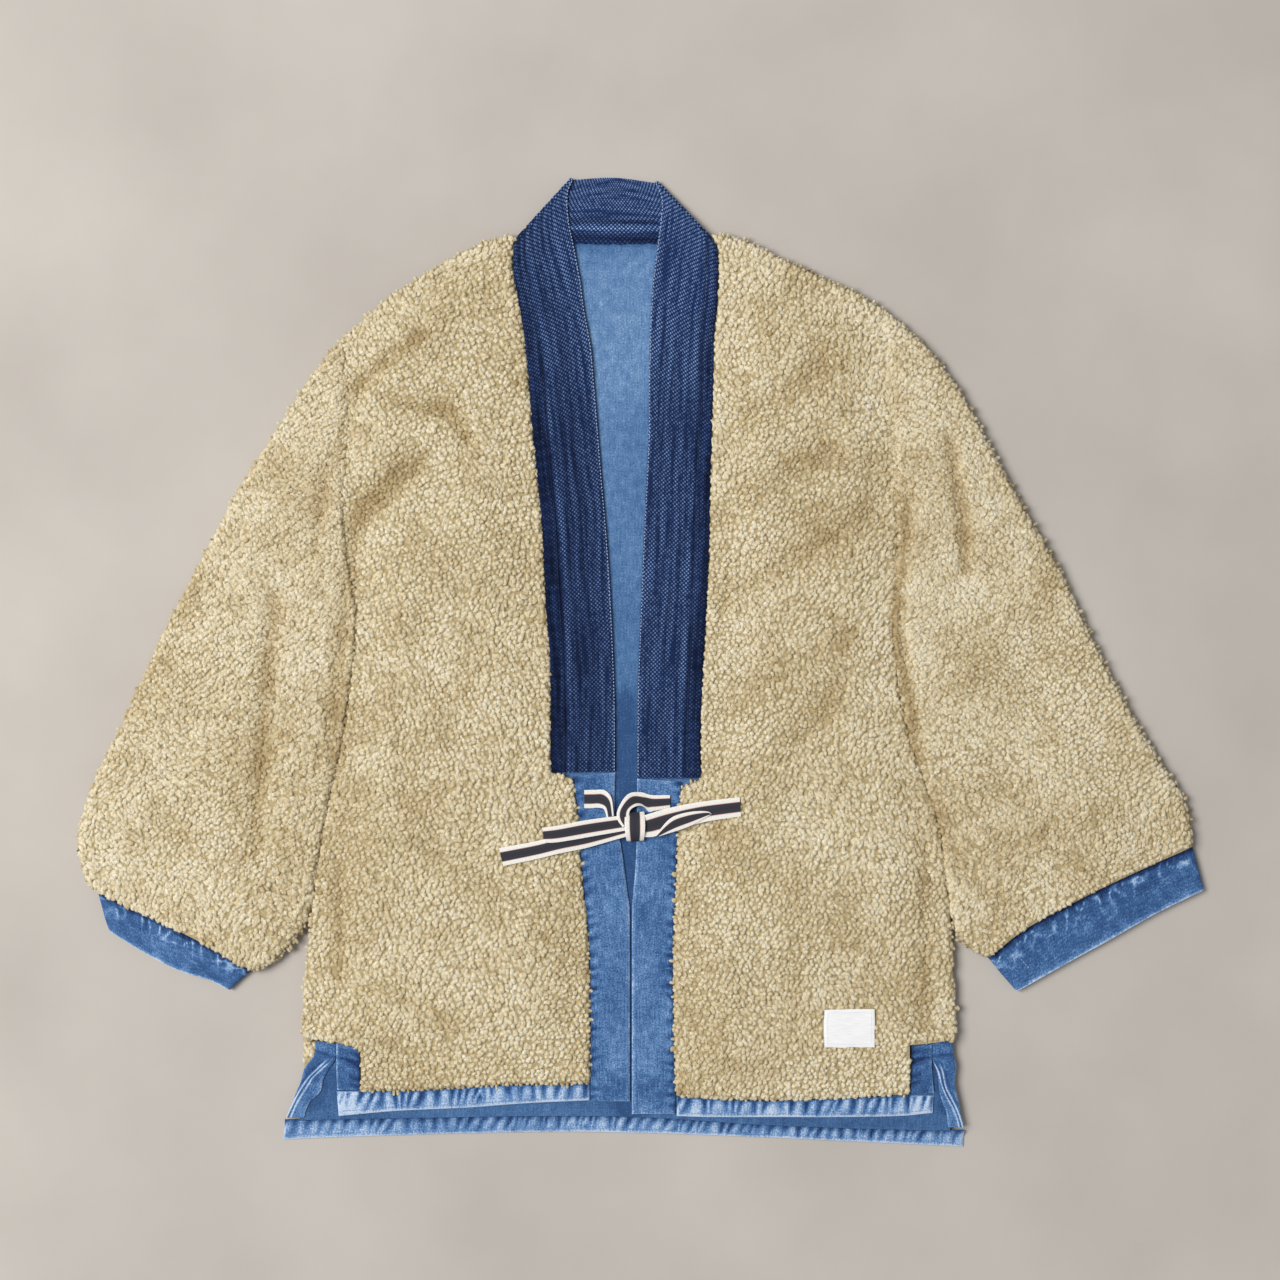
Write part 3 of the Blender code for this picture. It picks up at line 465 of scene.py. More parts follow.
class Weaver:
    """Adds a material's nodes, one call a step, and gives back the socket that carries its result."""

    def __init__(self, tree: bpy.types.NodeTree) -> None:
        """Starts on a material's node tree."""
        self.tree = tree

    def place(self, own_map: bool = True) -> Socket:
        """Where a point is: on the piece's own map, or in the object's coordinates."""
        if own_map:
            return add_node(self.tree, "ShaderNodeUVMap", uv_map="UVMap").outputs["UV"]
        return add_node(self.tree, "ShaderNodeTexCoord").outputs["Object"]

    def attribute(self, name: str) -> Socket:
        """A number that the mesh carries at its points."""
        return add_node(self.tree, "ShaderNodeAttribute", attribute_name=name).outputs["Fac"]

    def noise(self, place: Socket, scale: float | tuple[float, float], detail: float,
              distortion: float = 0.0) -> Socket:
        """Noise of a scale per metre, or of one scale along and one across."""
        if isinstance(scale, tuple):
            place = add_node(self.tree, "ShaderNodeMapping", {"Vector": place, "Scale": (*scale, 1.0)}).outputs[0]
            scale = 1.0
        return add_node(self.tree, "ShaderNodeTexNoise", {"Vector": place, "Scale": scale, "Detail": detail,
                                                          "Distortion": distortion}).outputs["Fac"]

    def math(self, operation: str, *numbers: object) -> Socket:
        """A sum of numbers or sockets."""
        return add_node(self.tree, "ShaderNodeMath", dict(enumerate(numbers)), operation=operation).outputs[0]

    def remap(self, number: Socket, *span: float) -> Socket:
        """A number taken from one span, (from, to), to another."""
        return add_node(self.tree, "ShaderNodeMapRange", dict(enumerate((number, *span)))).outputs[0]

    def ramp(self, number: Socket, *stops: tuple[float, str]) -> Socket:
        """The colour that a number has among stops."""
        return add_node(self.tree, "ShaderNodeValToRGB", {"Fac": number}, list(stops)).outputs["Color"]

    def mix(self, share: object, first: object, second: object, blend: str = "MULTIPLY") -> Socket:
        """Two colours mixed by a share."""
        return add_node(self.tree, "ShaderNodeMix", {0: share, 6: first, 7: second},
                        data_type="RGBA", blend_type=blend).outputs[2]


class Finish:
    """A surface finish, made into a material once."""

    name = "finish"

    def material(self) -> bpy.types.Material:
        """The finish's material, made on first use."""
        made = bpy.data.materials.get(self.name)
        if made is None:
            made = bpy.data.materials.new(self.name)
            made.use_nodes = True
            shader = made.node_tree.nodes["Principled BSDF"]
            colour, relief, values = self.dress(Weaver(made.node_tree))
            made.node_tree.links.new(colour, shader.inputs["Base Color"])
            if relief:
                bump = add_node(made.node_tree, "ShaderNodeBump", dict(zip(("Height", "Strength", "Distance"), relief)))
                made.node_tree.links.new(bump.outputs["Normal"], shader.inputs["Normal"])
            for name, value in values.items():
                shader.inputs[name].default_value = value
        return made

    def dress(self, weave: Weaver) -> Look:
        """Adds the finish's nodes.

        Args:
            weave: Adds nodes to the finish's tree.

        Returns:
            The colour; the bump's height, strength and distance; the shader's own values by input name.
        """
        raise NotImplementedError


@dataclass(frozen=True)
class CurlyFleece(Finish):
    """Polyester curl fleece: clumped locks with painted light and shade, pale on their crests and brown down between
    them.
    """

    name: str = "curly_fleece"

    def dress(self, weave: Weaver) -> Look:
        """Painted light and shade from crest to groove, and tone, from the curls' own attributes, with fine fibre bump.
        """
        # Painted light and shade: brown down in the grooves, pale on the lit crests.
        crest = weave.ramp(weave.attribute("painted_crest_light"), (0.0, "#B5A681"), (0.3, "#D7CAA7"), (0.65, "#EFE4C6"),
                           (1.0, "#FAF2DD"))
        # Tone, which carries random tone and also painted light and shade in broad patches and in the creases.
        shade = weave.ramp(weave.attribute("tone"), (0.0, "#C2B193"), (0.3, "#DFD4BE"), (0.65, "#F5F0E4"),
                           (1.0, "#FFFFFF"))
        # Fibres are about 0.05 mm thick; their locks, some 3 mm across, are what shows.
        lock = weave.noise(weave.place(own_map=False), 330.0, 3.0, 1.4)
        colour = weave.mix(1.0, weave.mix(1.0, crest, shade), weave.remap(lock, 0.32, 0.66, 0.75, 1.1))
        return colour, (lock, 0.8, 0.002), {"Roughness": 0.95, "Specular IOR Level": 0.2, "Sheen Weight": 0.15,
                                            "Sheen Roughness": 0.5}


class DenimWash(Enum):
    """How far a denim piece is washed out: its valley, body, ridge and rubbed colours."""

    LIGHT = ("#2C4E7D", "#4B72A2", "#6B90BC", "#A8C2E0")
    MID = ("#1A3160", "#3B6397", "#6C93C4", "#C6D8EF")


@dataclass(frozen=True)
class WashedDenim(Finish):
    """Indigo twill, stonewashed: colour rubbed off the ridges, slubs along the warp."""

    wash: DenimWash = DenimWash.MID

    @property
    def name(self) -> str:
        """The material's name."""
        return f"stonewashed_denim_{self.wash.name.lower()}"

    def dress(self, weave: Weaver) -> Look:
        """Colour from the piece's attribute of washed-out cloth and painted shade; slubs and twill from its own map in
        metres.
        """
        place = weave.place()
        # Slubs, the thick places of the warp yarn: about 1.3 mm wide and 16 mm long.
        slub = weave.noise(place, (760.0, 60.0), 3.0)
        # Weft flecks: 2.2 mm, in place of the 0.4 mm of the real twill, which would not show.
        fleck = weave.noise(place, 640.0, 1.0)
        # Clouds that the stones leave, about a centimetre across; the -0.59 centres the sum of all three.
        clouded = weave.math("MULTIPLY_ADD", weave.noise(place, 115.0, 4.0), 0.5, -0.59)
        mixed = weave.math("MULTIPLY_ADD", slub, 0.5, clouded)
        grain = weave.math("MULTIPLY_ADD", fleck, 0.8, mixed)
        level = weave.math("SUBTRACT", weave.math("ADD", grain, weave.attribute("wear_and_shade")), 0.3)
        colour = weave.ramp(level, *zip((0.0, 0.38, 0.66, 1.0), self.wash.value))
        return colour, (grain, 0.35, 0.0005), {"Roughness": 0.85, "Specular IOR Level": 0.25, "Sheen Weight": 0.1}


@dataclass(frozen=True)
class DottedWeave(Finish):
    """Indigo dobby weave with raised pale dots on the bias, washed soft."""

    name: str = "dotted_indigo_weave"
    # The dots' distance in metres; the real 1.5 mm would not show.
    dot_pitch: float = 0.0027

    def dress(self, weave: Weaver) -> Look:
        """Dots from a regular cell pattern in the band's own map, faded along it by its attribute of rubbed cloth and
        painted shade.
        """
        place, wear_and_shade = weave.place(), weave.attribute("wear_and_shade")
        turned = add_node(weave.tree, "ShaderNodeMapping", {"Vector": place, "Rotation": (0, 0, math.radians(45))})
        cells = add_node(weave.tree, "ShaderNodeTexVoronoi",
                         {"Vector": turned.outputs[0], "Scale": 1 / self.dot_pitch, "Randomness": 0.1},
                         voronoi_dimensions="2D")
        dot = weave.remap(cells.outputs["Distance"], 0.2, 0.4, 1.0, 0.0)
        # Weft stripes along the band, some 4 mm wide, carry more or fewer dots.
        stripe = weave.noise(place, (14.0, 240.0), 3.0)
        both = weave.math("MULTIPLY_ADD", stripe, 1.7, weave.noise(place, 200.0, 2.0))
        shown = weave.math("MULTIPLY", dot, weave.remap(both, 1.1, 1.62, 0.08, 1.0))
        dark = weave.ramp(stripe, (0.36, "#040A1F"), (0.5, "#081434"), (0.64, "#0F224D"))
        ground = weave.mix(wear_and_shade, dark, linear("#152F62"), "MIX")
        colour = weave.mix(weave.math("MULTIPLY", shown, wear_and_shade), ground, linear("#A2C4F4"), "MIX")
        return colour, (shown, 0.4, 0.0006), {"Roughness": 0.85, "Specular IOR Level": 0.12}


@dataclass(frozen=True)
class StripedTape(Finish):
    """Woven cotton tape: charcoal ribs between off-white selvedges with a faint pink thread."""

    name: str = "striped_cotton_tape"

    def dress(self, weave: Weaver) -> Look:
        """Stripes across the tape from its map: first number metres along, second the share across."""
        place = weave.place()
        split = add_node(weave.tree, "ShaderNodeSeparateXYZ", {0: place})
        # The share across is folded at the middle, so that both selvedges are alike.
        side = weave.math("ABSOLUTE", weave.math("SUBTRACT", split.outputs[1], 0.5))
        stripes = weave.ramp(side, (0.0, "#33333C"), (0.24, "#3A3A44"), (0.262, "#D9A9A4"), (0.29, "#F6F3EB"),
                             (0.5, "#FCFAF4"))
        # Ribs of the weave, 0.5 mm in the real tape and drawn 1.3 mm apart.
        grain = weave.noise(place, (770.0, 26.0), 1.0)
        colour = weave.mix(1.0, stripes, weave.remap(grain, 0.3, 0.7, 0.8, 1.1))
        return colour, (grain, 0.5, 0.0004), {"Roughness": 0.8, "Specular IOR Level": 0.3}


@dataclass(frozen=True)
class WovenLabelCloth(Finish):
    """Satin label cloth, bright white with a fine lengthwise thread and nothing written on it."""

    name: str = "white_satin_label"

    def dress(self, weave: Weaver) -> Look:
        """White with a fine thread, 1.1 mm apart in place of 0.3 mm."""
        grain = weave.noise(weave.place(own_map=False), (90.0, 900.0), 2.0)
        colour = weave.ramp(grain, (0.3, "#F0F2F6"), (0.6, "#FEFEFF"))
        return colour, (grain, 0.2, 0.0003), {"Roughness": 0.55, "Sheen Weight": 0.1}


@dataclass(frozen=True)
class SewingThread(Finish):
    """Spun sewing thread of one colour, matt."""

    name: str = "sewing_thread_blue"
    colour: str = "#7F9CC8"

    def dress(self, weave: Weaver) -> Look:
        """One colour, varied a little along the thread."""
        speck = weave.remap(weave.noise(weave.place(own_map=False), 500.0, 1.0), 0.3, 0.7, 0.75, 1.05)
        return weave.mix(1.0, linear(self.colour), speck), (), {"Roughness": 0.75}


@dataclass(frozen=True)
class FloorPaint(Finish):
    """Matt pale grey floor, a little uneven in tone as trowelled concrete is."""

    name: str = "pale_matt_floor"

    def dress(self, weave: Weaver) -> Look:
        """Two close greys in clouds of a quarter metre."""
        cloud = weave.noise(weave.place(own_map=False), 4.0, 5.0)
        return weave.ramp(cloud, (0.3, "#BCB5AE"), (0.7, "#CAC4BD")), (), {"Roughness": 0.8}


FLEECE_CLOTH = CurlyFleece()
MID_DENIM = WashedDenim()
BLUE_THREAD = SewingThread()
PALE_THREAD = SewingThread("sewing_thread_pale_blue", "#B4C6E4")
NAVY_THREAD = SewingThread("sewing_thread_navy", "#1A2950")
WHITE_THREAD = SewingThread("sewing_thread_white", "#E4E6EA")


def mark(made: Piece, places: dict[str, Array]) -> None:
    """Writes named numbers, one array per attribute, to a mesh's points."""
    for name, values in places.items():
        attribute = made.data.attributes.new(name, "FLOAT", "POINT")
        attribute.data.foreach_set("value", np.asarray(values, np.float32).ravel())


def map_in_metres(made: Piece, places: Array) -> None:
    """Writes a piece's own map, one pair of numbers per point."""
    mesh = made.data
    layer = mesh.uv_layers.get("UVMap") or mesh.uv_layers.new(name="UVMap")
    corners = np.empty(len(mesh.loops), np.int32)
    mesh.loops.foreach_get("vertex_index", corners)
    layer.data.foreach_set("uv", places.reshape(-1, 2)[corners].astype(np.float32).ravel())


def alone(made: Piece) -> None:
    """Selects one object and nothing else."""
    bpy.ops.object.select_all(action="DESELECT")
    made.select_set(True)
    bpy.context.view_layer.objects.active = made


def from_faces(name: str, points: Array, faces: list) -> Piece:
    """A smooth mesh object from points in the tables' millimetres and faces as rows of point numbers."""
    mesh = bpy.data.meshes.new(name)
    mesh.from_pydata(metres(points), [], faces)
    mesh.shade_smooth()
    made = bpy.data.objects.new(name, mesh)
    bpy.context.scene.collection.objects.link(made)
    return made


def slab(name: str, upper: Array, lower: Array, keep: Array | None = None,
         uv: Array | None = None, marks: dict[str, Array] | None = None) -> Piece:
    """A closed wall between two grids of points.

    Args:
        name: The piece's name.
        upper: Rows and columns of points of the face that shows.
        lower: The same of the other face.
        keep: Which cells stay.
        uv: The map's pair for each point of one face.
        marks: Attributes, for each point of one face.

    Returns:
        The piece.
    """
    rows, columns = upper.shape[:2]
    count = rows * columns
    index = np.arange(count).reshape(rows, columns)
    cells = np.stack([index[:-1, :-1], index[1:, :-1], index[1:, 1:], index[:-1, 1:]], axis=-1)
    if keep is None:
        keep = np.ones((rows - 1, columns - 1), bool)
    top = cells[keep]
    corner = upper.reshape(-1, 3)
    first = top[len(top) // 2]
    facing = np.cross(corner[first[1]] - corner[first[0]], corner[first[3]] - corner[first[0]])
    outward = corner[first[0]] - lower.reshape(-1, 3)[first[0]]
    if np.dot(facing, outward) < 0:
        top = top[:, ::-1]
    border: dict[tuple[int, int], bool] = {}
    for face in top.tolist():
        for start, end in zip(face, face[1:] + face[:1]):
            if (end, start) in border:
                del border[(end, start)]
            else:
                border[(start, end)] = True
    sides = [(end, start, start + count, end + count) for start, end in border]
    faces = top.tolist() + (top[:, ::-1] + count).tolist() + sides
    used, number = np.unique(np.concatenate([np.ravel(face) for face in faces]), return_inverse=True)
    ends = np.cumsum([len(face) for face in faces])[:-1]
    renumbered = [part.tolist() for part in np.split(number, ends)]
    points = np.concatenate([upper.reshape(-1, 3), lower.reshape(-1, 3)])[used]
    made = from_faces(name, points, renumbered)
    if uv is not None:
        map_in_metres(made, np.concatenate([uv.reshape(-1, 2)] * 2)[used])
    if marks:
        mark(made, {k: np.concatenate([np.ravel(v)] * 2)[used] for k, v in marks.items()})
    alone(made)
    bpy.ops.object.shade_smooth_by_angle(angle=SMOOTH_ANGLE)
    return made


def laid_sheet(name: str, places: Array, wall: float, uv: Array,
               marks: dict[str, Array] | None = None, tube: bool = False) -> Piece:
    """One layer of cloth: a grid shaped to its places, then given its thickness away from the side that shows.

    Args:
        name: The piece's name.
        places: Rows and columns of points of the side that shows.
        wall: The cloth's thickness in millimetres.
        uv: The map's pair for each point.
        marks: Attributes for each point.
        tube: True where the last column meets the first.

    Returns:
        The piece.
    """
    rows, columns = places.shape[:2]
    bpy.ops.object.select_all(action="DESELECT")
    bpy.ops.mesh.primitive_grid_add(x_subdivisions=columns - 1, y_subdivisions=rows - 1, size=1)
    made = bpy.context.object
    made.name = made.data.name = name
    made.data.vertices.foreach_set("co", metres(places).ravel())
    map_in_metres(made, uv)
    mark(made, marks or {})
    made.data.update()
    middle = made.data.polygons[(rows // 2) * (columns - 1) + (columns - 1) // 2]
    bpy.ops.object.mode_set(mode="EDIT")
    bpy.ops.mesh.select_all(action="SELECT")
    if tube:
        bpy.ops.mesh.remove_doubles(threshold=1e-6)
        bpy.ops.mesh.normals_make_consistent(inside=False)
    elif middle.normal.z < 0:
        bpy.ops.mesh.flip_normals()
    bpy.ops.object.mode_set(mode="OBJECT")
    thick = made.modifiers.new("cloth", "SOLIDIFY")
    thick.thickness = wall * MM
    thick.offset = -1
    bpy.ops.object.modifier_apply(modifier=thick.name)
    # The jacket lies on the floor, so no cloth reaches below it.
    points = np.empty(3 * len(made.data.vertices))
    made.data.vertices.foreach_get("co", points)
    points[2::3] = np.maximum(points[2::3], CLEARANCE * MM)
    made.data.vertices.foreach_set("co", points)
    made.data.update()
    bpy.ops.object.shade_smooth_by_angle(angle=SMOOTH_ANGLE)
    return made


def ground_marks(table: Array) -> dict[str, Array]:
    """The fleece ground's attributes: the painted shade down between the curls, and a middle tone."""
    return {"painted_crest_light": np.full(table.shape[:2], 0.25), "tone": np.full(table.shape[:2], 0.5)}


def settle(made: Piece, finish: Finish, nodes: tuple[str, ...] = ()) -> None:
    """Dresses a piece and tells the frame what it is.

    Args:
        made: The piece.
        finish: Its finish.
        nodes: The solids that it stands for.
    """
    made.data.materials.clear()
    made.data.materials.append(finish.material())
    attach(made, BODY)
    if nodes:
        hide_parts(*nodes)
    LOG.info("%s: %d faces", made.name, len(made.data.polygons))


def settle_fleece(ground: Piece, curls: tuple[Piece, ...], node: str) -> None:
    """Settles a fleece panel: its curls, and its ground that stands for a solid."""
    for made in curls:
        settle(made, FLEECE_CLOTH)
    settle(ground, FLEECE_CLOTH, (node,))


@dataclass
class Pile:
    """The curls of one fleece panel, as uneven rounded lumps that crowd each other on its ground.

    Gaps, sizes and the depth that a lump is sunk into the ground are in millimetres.
    """

    seed: int
    row_gap: float = 4.1
    root_gap: float = 4.7
    length: tuple[float, float] = (6.4, 11.1)
    width: tuple[float, float] = (4.9, 7.3)
    height: tuple[float, float] = (0.9, 2.3)
    sunk: float = 0.5
    sides: int = 5

    def lump(self) -> tuple[Array, list[tuple[int, ...]]]:
        """One lump of unit size, foot ring, shoulder ring and crown: (along, aside, height, painted light), and faces.
        """
        turn = np.arange(self.sides) * 2 * math.pi / self.sides
        # The last number is painted light and shade: dark at the foot, lighter on the shoulder, brightest on the crown.
        rows = [(math.cos(a), math.sin(a), -1, 0.0) for a in turn]
        rows += [(0.68 * math.cos(a + 0.2), 0.68 * math.sin(a + 0.2), 0.76, 0.74) for a in turn]
        rows.append((0, 0, 1, 1))
        crown, faces = 2 * self.sides, []
        for k in range(self.sides):
            after = (k + 1) % self.sides
            faces += [(k, after, self.sides + after, self.sides + k), (self.sides + k, self.sides + after, crown)]
        return np.array(rows), faces

    def roots(self, table: Array, rng: np.random.Generator) -> tuple[Array, Array]:
        """Sets roots in jittered rows over a table of points.

        Args:
            table: Rows and columns of points in millimetres.
            rng: The seeded draw.

        Returns:
            Row and column numbers of the roots, with fractions.
        """
        rows = table.shape[0]
        middle = table[:, table.shape[1] // 4]
        down = travelled(middle)
        found_rows, found_columns = [], []
        for number, reach in enumerate(np.arange(0, down[-1], self.row_gap)):
            row = float(np.interp(reach, down, np.arange(rows)))
            low = min(int(row), rows - 2)
            line = table[low] * (1 - row + low) + table[low + 1] * (row - low)
            arc = travelled(line)
            places = np.arange(0.5 * (number % 2), arc[-1] / self.root_gap) * self.root_gap
            places = places + rng.uniform(-0.32, 0.32, len(places)) * self.root_gap
            column = np.interp(places, arc, np.arange(len(arc)))
            # Where the rows run closer together than at their middle, some roots are left out.
            apart = np.linalg.norm(table[low + 1] - table[low], axis=1) / max(down[low + 1] - down[low], 1e-6)
            stays = rng.random(len(places)) < np.interp(column, np.arange(len(apart)), apart)
            shift = rng.uniform(-0.35, 0.35, len(places)) * self.row_gap
            found_columns.append(column[stays])
            found_rows.append(np.interp(np.clip(reach + shift, 0, down[-1]), down, np.arange(rows))[stays])
        return np.concatenate(found_rows), np.concatenate(found_columns)

    def grow(self, name: str, table: Array, keep: Callable[[Array], Array] | None = None,
             upward: bool = True) -> Piece:
        """Makes the panel's curls.

        Args:
            name: The piece's name.
            table: Rows and columns of points of the fleece's ground.
            keep: A test of root points (x, y, z).
            upward: Whether the table's middle faces up.

        Returns:
            The piece.
        """
        rng = np.random.default_rng(self.seed)
        row, column = self.roots(table, rng)
        low_r = np.clip(row.astype(int), 0, table.shape[0] - 2)
        low_c = np.clip(column.astype(int), 0, table.shape[1] - 2)
        fr, fc = (row - low_r)[:, None], (column - low_c)[:, None]
        a, b = table[low_r, low_c], table[low_r, low_c + 1]
        c, d = table[low_r + 1, low_c], table[low_r + 1, low_c + 1]
        root = (a * (1 - fc) + b * fc) * (1 - fr) + (c * (1 - fc) + d * fc) * fr
        across = (b - a) * (1 - fr) + (d - c) * fr
        down = (c - a) * (1 - fc) + (d - b) * fc
        normal = np.cross(across, down)
        normal /= np.maximum(np.linalg.norm(normal, axis=1, keepdims=True), 1e-9)
        i, j = len(table) // 2, table.shape[1] // 3
        central = np.cross(table[i, j + 1] - table[i, j], table[i + 1, j] - table[i, j])
        if (central[2] > 0) != upward:
            normal = -normal
        if not upward:
            flat = normal[:, 2] < -0.8
            root, normal = root[flat], normal[flat]
        # Pressed against the floor, three locks in four are left out.
        shown = (normal[:, 2] > -0.3) | (np.arange(len(root)) % 4 == 0)
        root, normal = root[shown], normal[shown]
        if keep is not None:
            stays = keep(root)
            root, normal = root[stays], normal[stays]
        return self.curls(name, root, normal, rng)

    def directions(self, root: Array, normal: Array,
                   rng: np.random.Generator) -> tuple[Array, Array]:
        """Draws which way each curl lies: the direction along it and the one aside."""
        count = len(root)
        lean = Drift(self.seed + 1, 38)(root) * 1.3 + rng.normal(0, 0.45, count)
        flat = np.stack([np.sin(lean), np.cos(lean), np.zeros(count)], axis=1)
        steep = abs(normal[:, 2]) < 0.25
        flat[steep] = flat[steep] * 0.4 + np.array([0.0, 0.0, 1.0])
        forward = flat - normal * np.sum(flat * normal, axis=1, keepdims=True)
        forward /= np.maximum(np.linalg.norm(forward, axis=1, keepdims=True), 1e-9)
        side = np.cross(normal, forward)
        flip = rng.random(count) < 0.5
        forward[flip], side[flip] = -forward[flip], -side[flip]
        return forward, side

    def sizes(self, root: Array, normal: Array,
              rng: np.random.Generator) -> tuple[Array, Array, Array]:
        """Draws each curl's length, width and height."""
        count = len(root)
        long = rng.uniform(*self.length, count) * (0.88 + 0.2 * Drift(self.seed + 2, 55)(root))
        wide = rng.uniform(*self.width, count)
        # Round the folds the locks stand free as narrow tufts; underneath they are pressed flat.
        free, under = abs(normal[:, 2]) < 0.5, normal[:, 2] < -0.3
        wide = np.where(free, 0.72, 1.0) * wide
        long = np.where(free, 0.8, 1.0) * np.where(under, 1.4, 1.0) * long
        low = np.where(under, 0.55, 1.0) * np.where(free, rng.uniform(1.0, 2.8, count), 1.0)
        return long, wide, rng.uniform(*self.height, count) * low

    def curls(self, name: str, root: Array, normal: Array, rng: np.random.Generator) -> Piece:
        """Sets a curl on each root.

        Args:
            name: The piece's name.
            root: Points of the ground.
            normal: Which way each curl stands.
            rng: The seeded draw.

        Returns:
            The piece.
        """
        count = len(root)
        forward, side = self.directions(root, normal, rng)
        long, wide, tall = self.sizes(root, normal, rng)
        bend = rng.normal(0, 0.12, count)
        shape, lump_faces = self.lump()
        # The shape's colour column is its painted light and shade, from foot to crown.
        t, s, h, colour = shape.T
        uneven = rng.uniform(0.8, 1.2, (count, len(shape)))
        forth = t[None] * long[:, None] / 2 * uneven
        aside = s[None] * wide[:, None] / 2 * uneven + bend[:, None] * (t[None] ** 2 - 0.35) * long[:, None]
        up = np.where(h[None] < 0, -self.sunk, h[None] * tall[:, None])
        up = up + (h[None] > 0) * t[None] * rng.uniform(-0.35, 0.35, count)[:, None] * tall[:, None]
        points = (root[:, None] + forth[..., None] * forward[:, None] + aside[..., None] * side[:, None]
                  + up[..., None] * normal[:, None])
        points[..., 2] = np.maximum(points[..., 2], CLEARANCE)
        per = len(shape)
        faces = [[corner + per * number for corner in face] for number in range(count) for face in lump_faces]
        made = from_faces(name, points.reshape(-1, 3), faces)
        # Tone: random patches some 24 mm across and random per curl; broad patches some 80 mm across as painted light
        # and shade; and painted shade where the creases press the cloth down.
        patch = 0.2 * Drift(self.seed + 3, 24)(root) + 0.16 * Drift(88, 80)(root)
        tone = np.clip(0.58 + patch - 0.18 * pressed(root[:, :2]) + rng.normal(0, 0.13, count), 0, 1)
        # Each curl's painted light and shade from its foot to its crown, and its tone.
        mark(made, {"painted_crest_light": np.tile(colour, count), "tone": np.repeat(tone, per)})
        return made


@dataclass
class StitchRow:
    """A row of stitches: one short rounded thread, copied along a route."""

    name: str
    pitch: float = 3.1
    length: float = 2.3
    width: float = 0.85

    def build(self, route: Array, thread: SewingThread, slot: str) -> None:
        """Sews the row.

        Args:
            route: Points on the cloth, one after another.
            thread: The thread's finish.
            slot: The material slot of the cloth; not used.
        """
        bpy.ops.object.select_all(action="DESELECT")
        bpy.ops.mesh.primitive_uv_sphere_add(segments=6, ring_count=4, radius=0.5)
        made = bpy.context.object
        made.name = made.data.name = self.name
        one = np.empty(len(made.data.vertices) * 3)
        made.data.vertices.foreach_get("co", one)
        one = one.reshape(-1, 3) * (self.width, self.width, self.length)
        faces = [list(face.vertices) for face in made.data.polygons]
        total = float(steps(route).sum())
        t = (np.arange(int(total / self.pitch)) + 0.5) * self.pitch / total
        line = follow(route)
        ahead = line(np.minimum(t + 0.5 / total, 1)) - line(np.maximum(t - 0.5 / total, 0))
        ahead /= np.linalg.norm(ahead, axis=1, keepdims=True)
        side = np.cross(ahead, (0.0, 0.0, 1.0))
        side /= np.maximum(np.linalg.norm(side, axis=1, keepdims=True), 1e-9)
        up = np.cross(side, ahead)
        points = (line(t)[:, None] + one[None, :, 0, None] * side[:, None] + one[None, :, 1, None] * up[:, None]
                  + one[None, :, 2, None] * ahead[:, None])
        mesh = bpy.data.meshes.new(self.name)
        mesh.from_pydata(metres(points), [], [[corner + len(one) * k for corner in face]
                                              for k in range(len(t)) for face in faces])
        mesh.shade_smooth()
        made.data = mesh
        settle(made, thread)


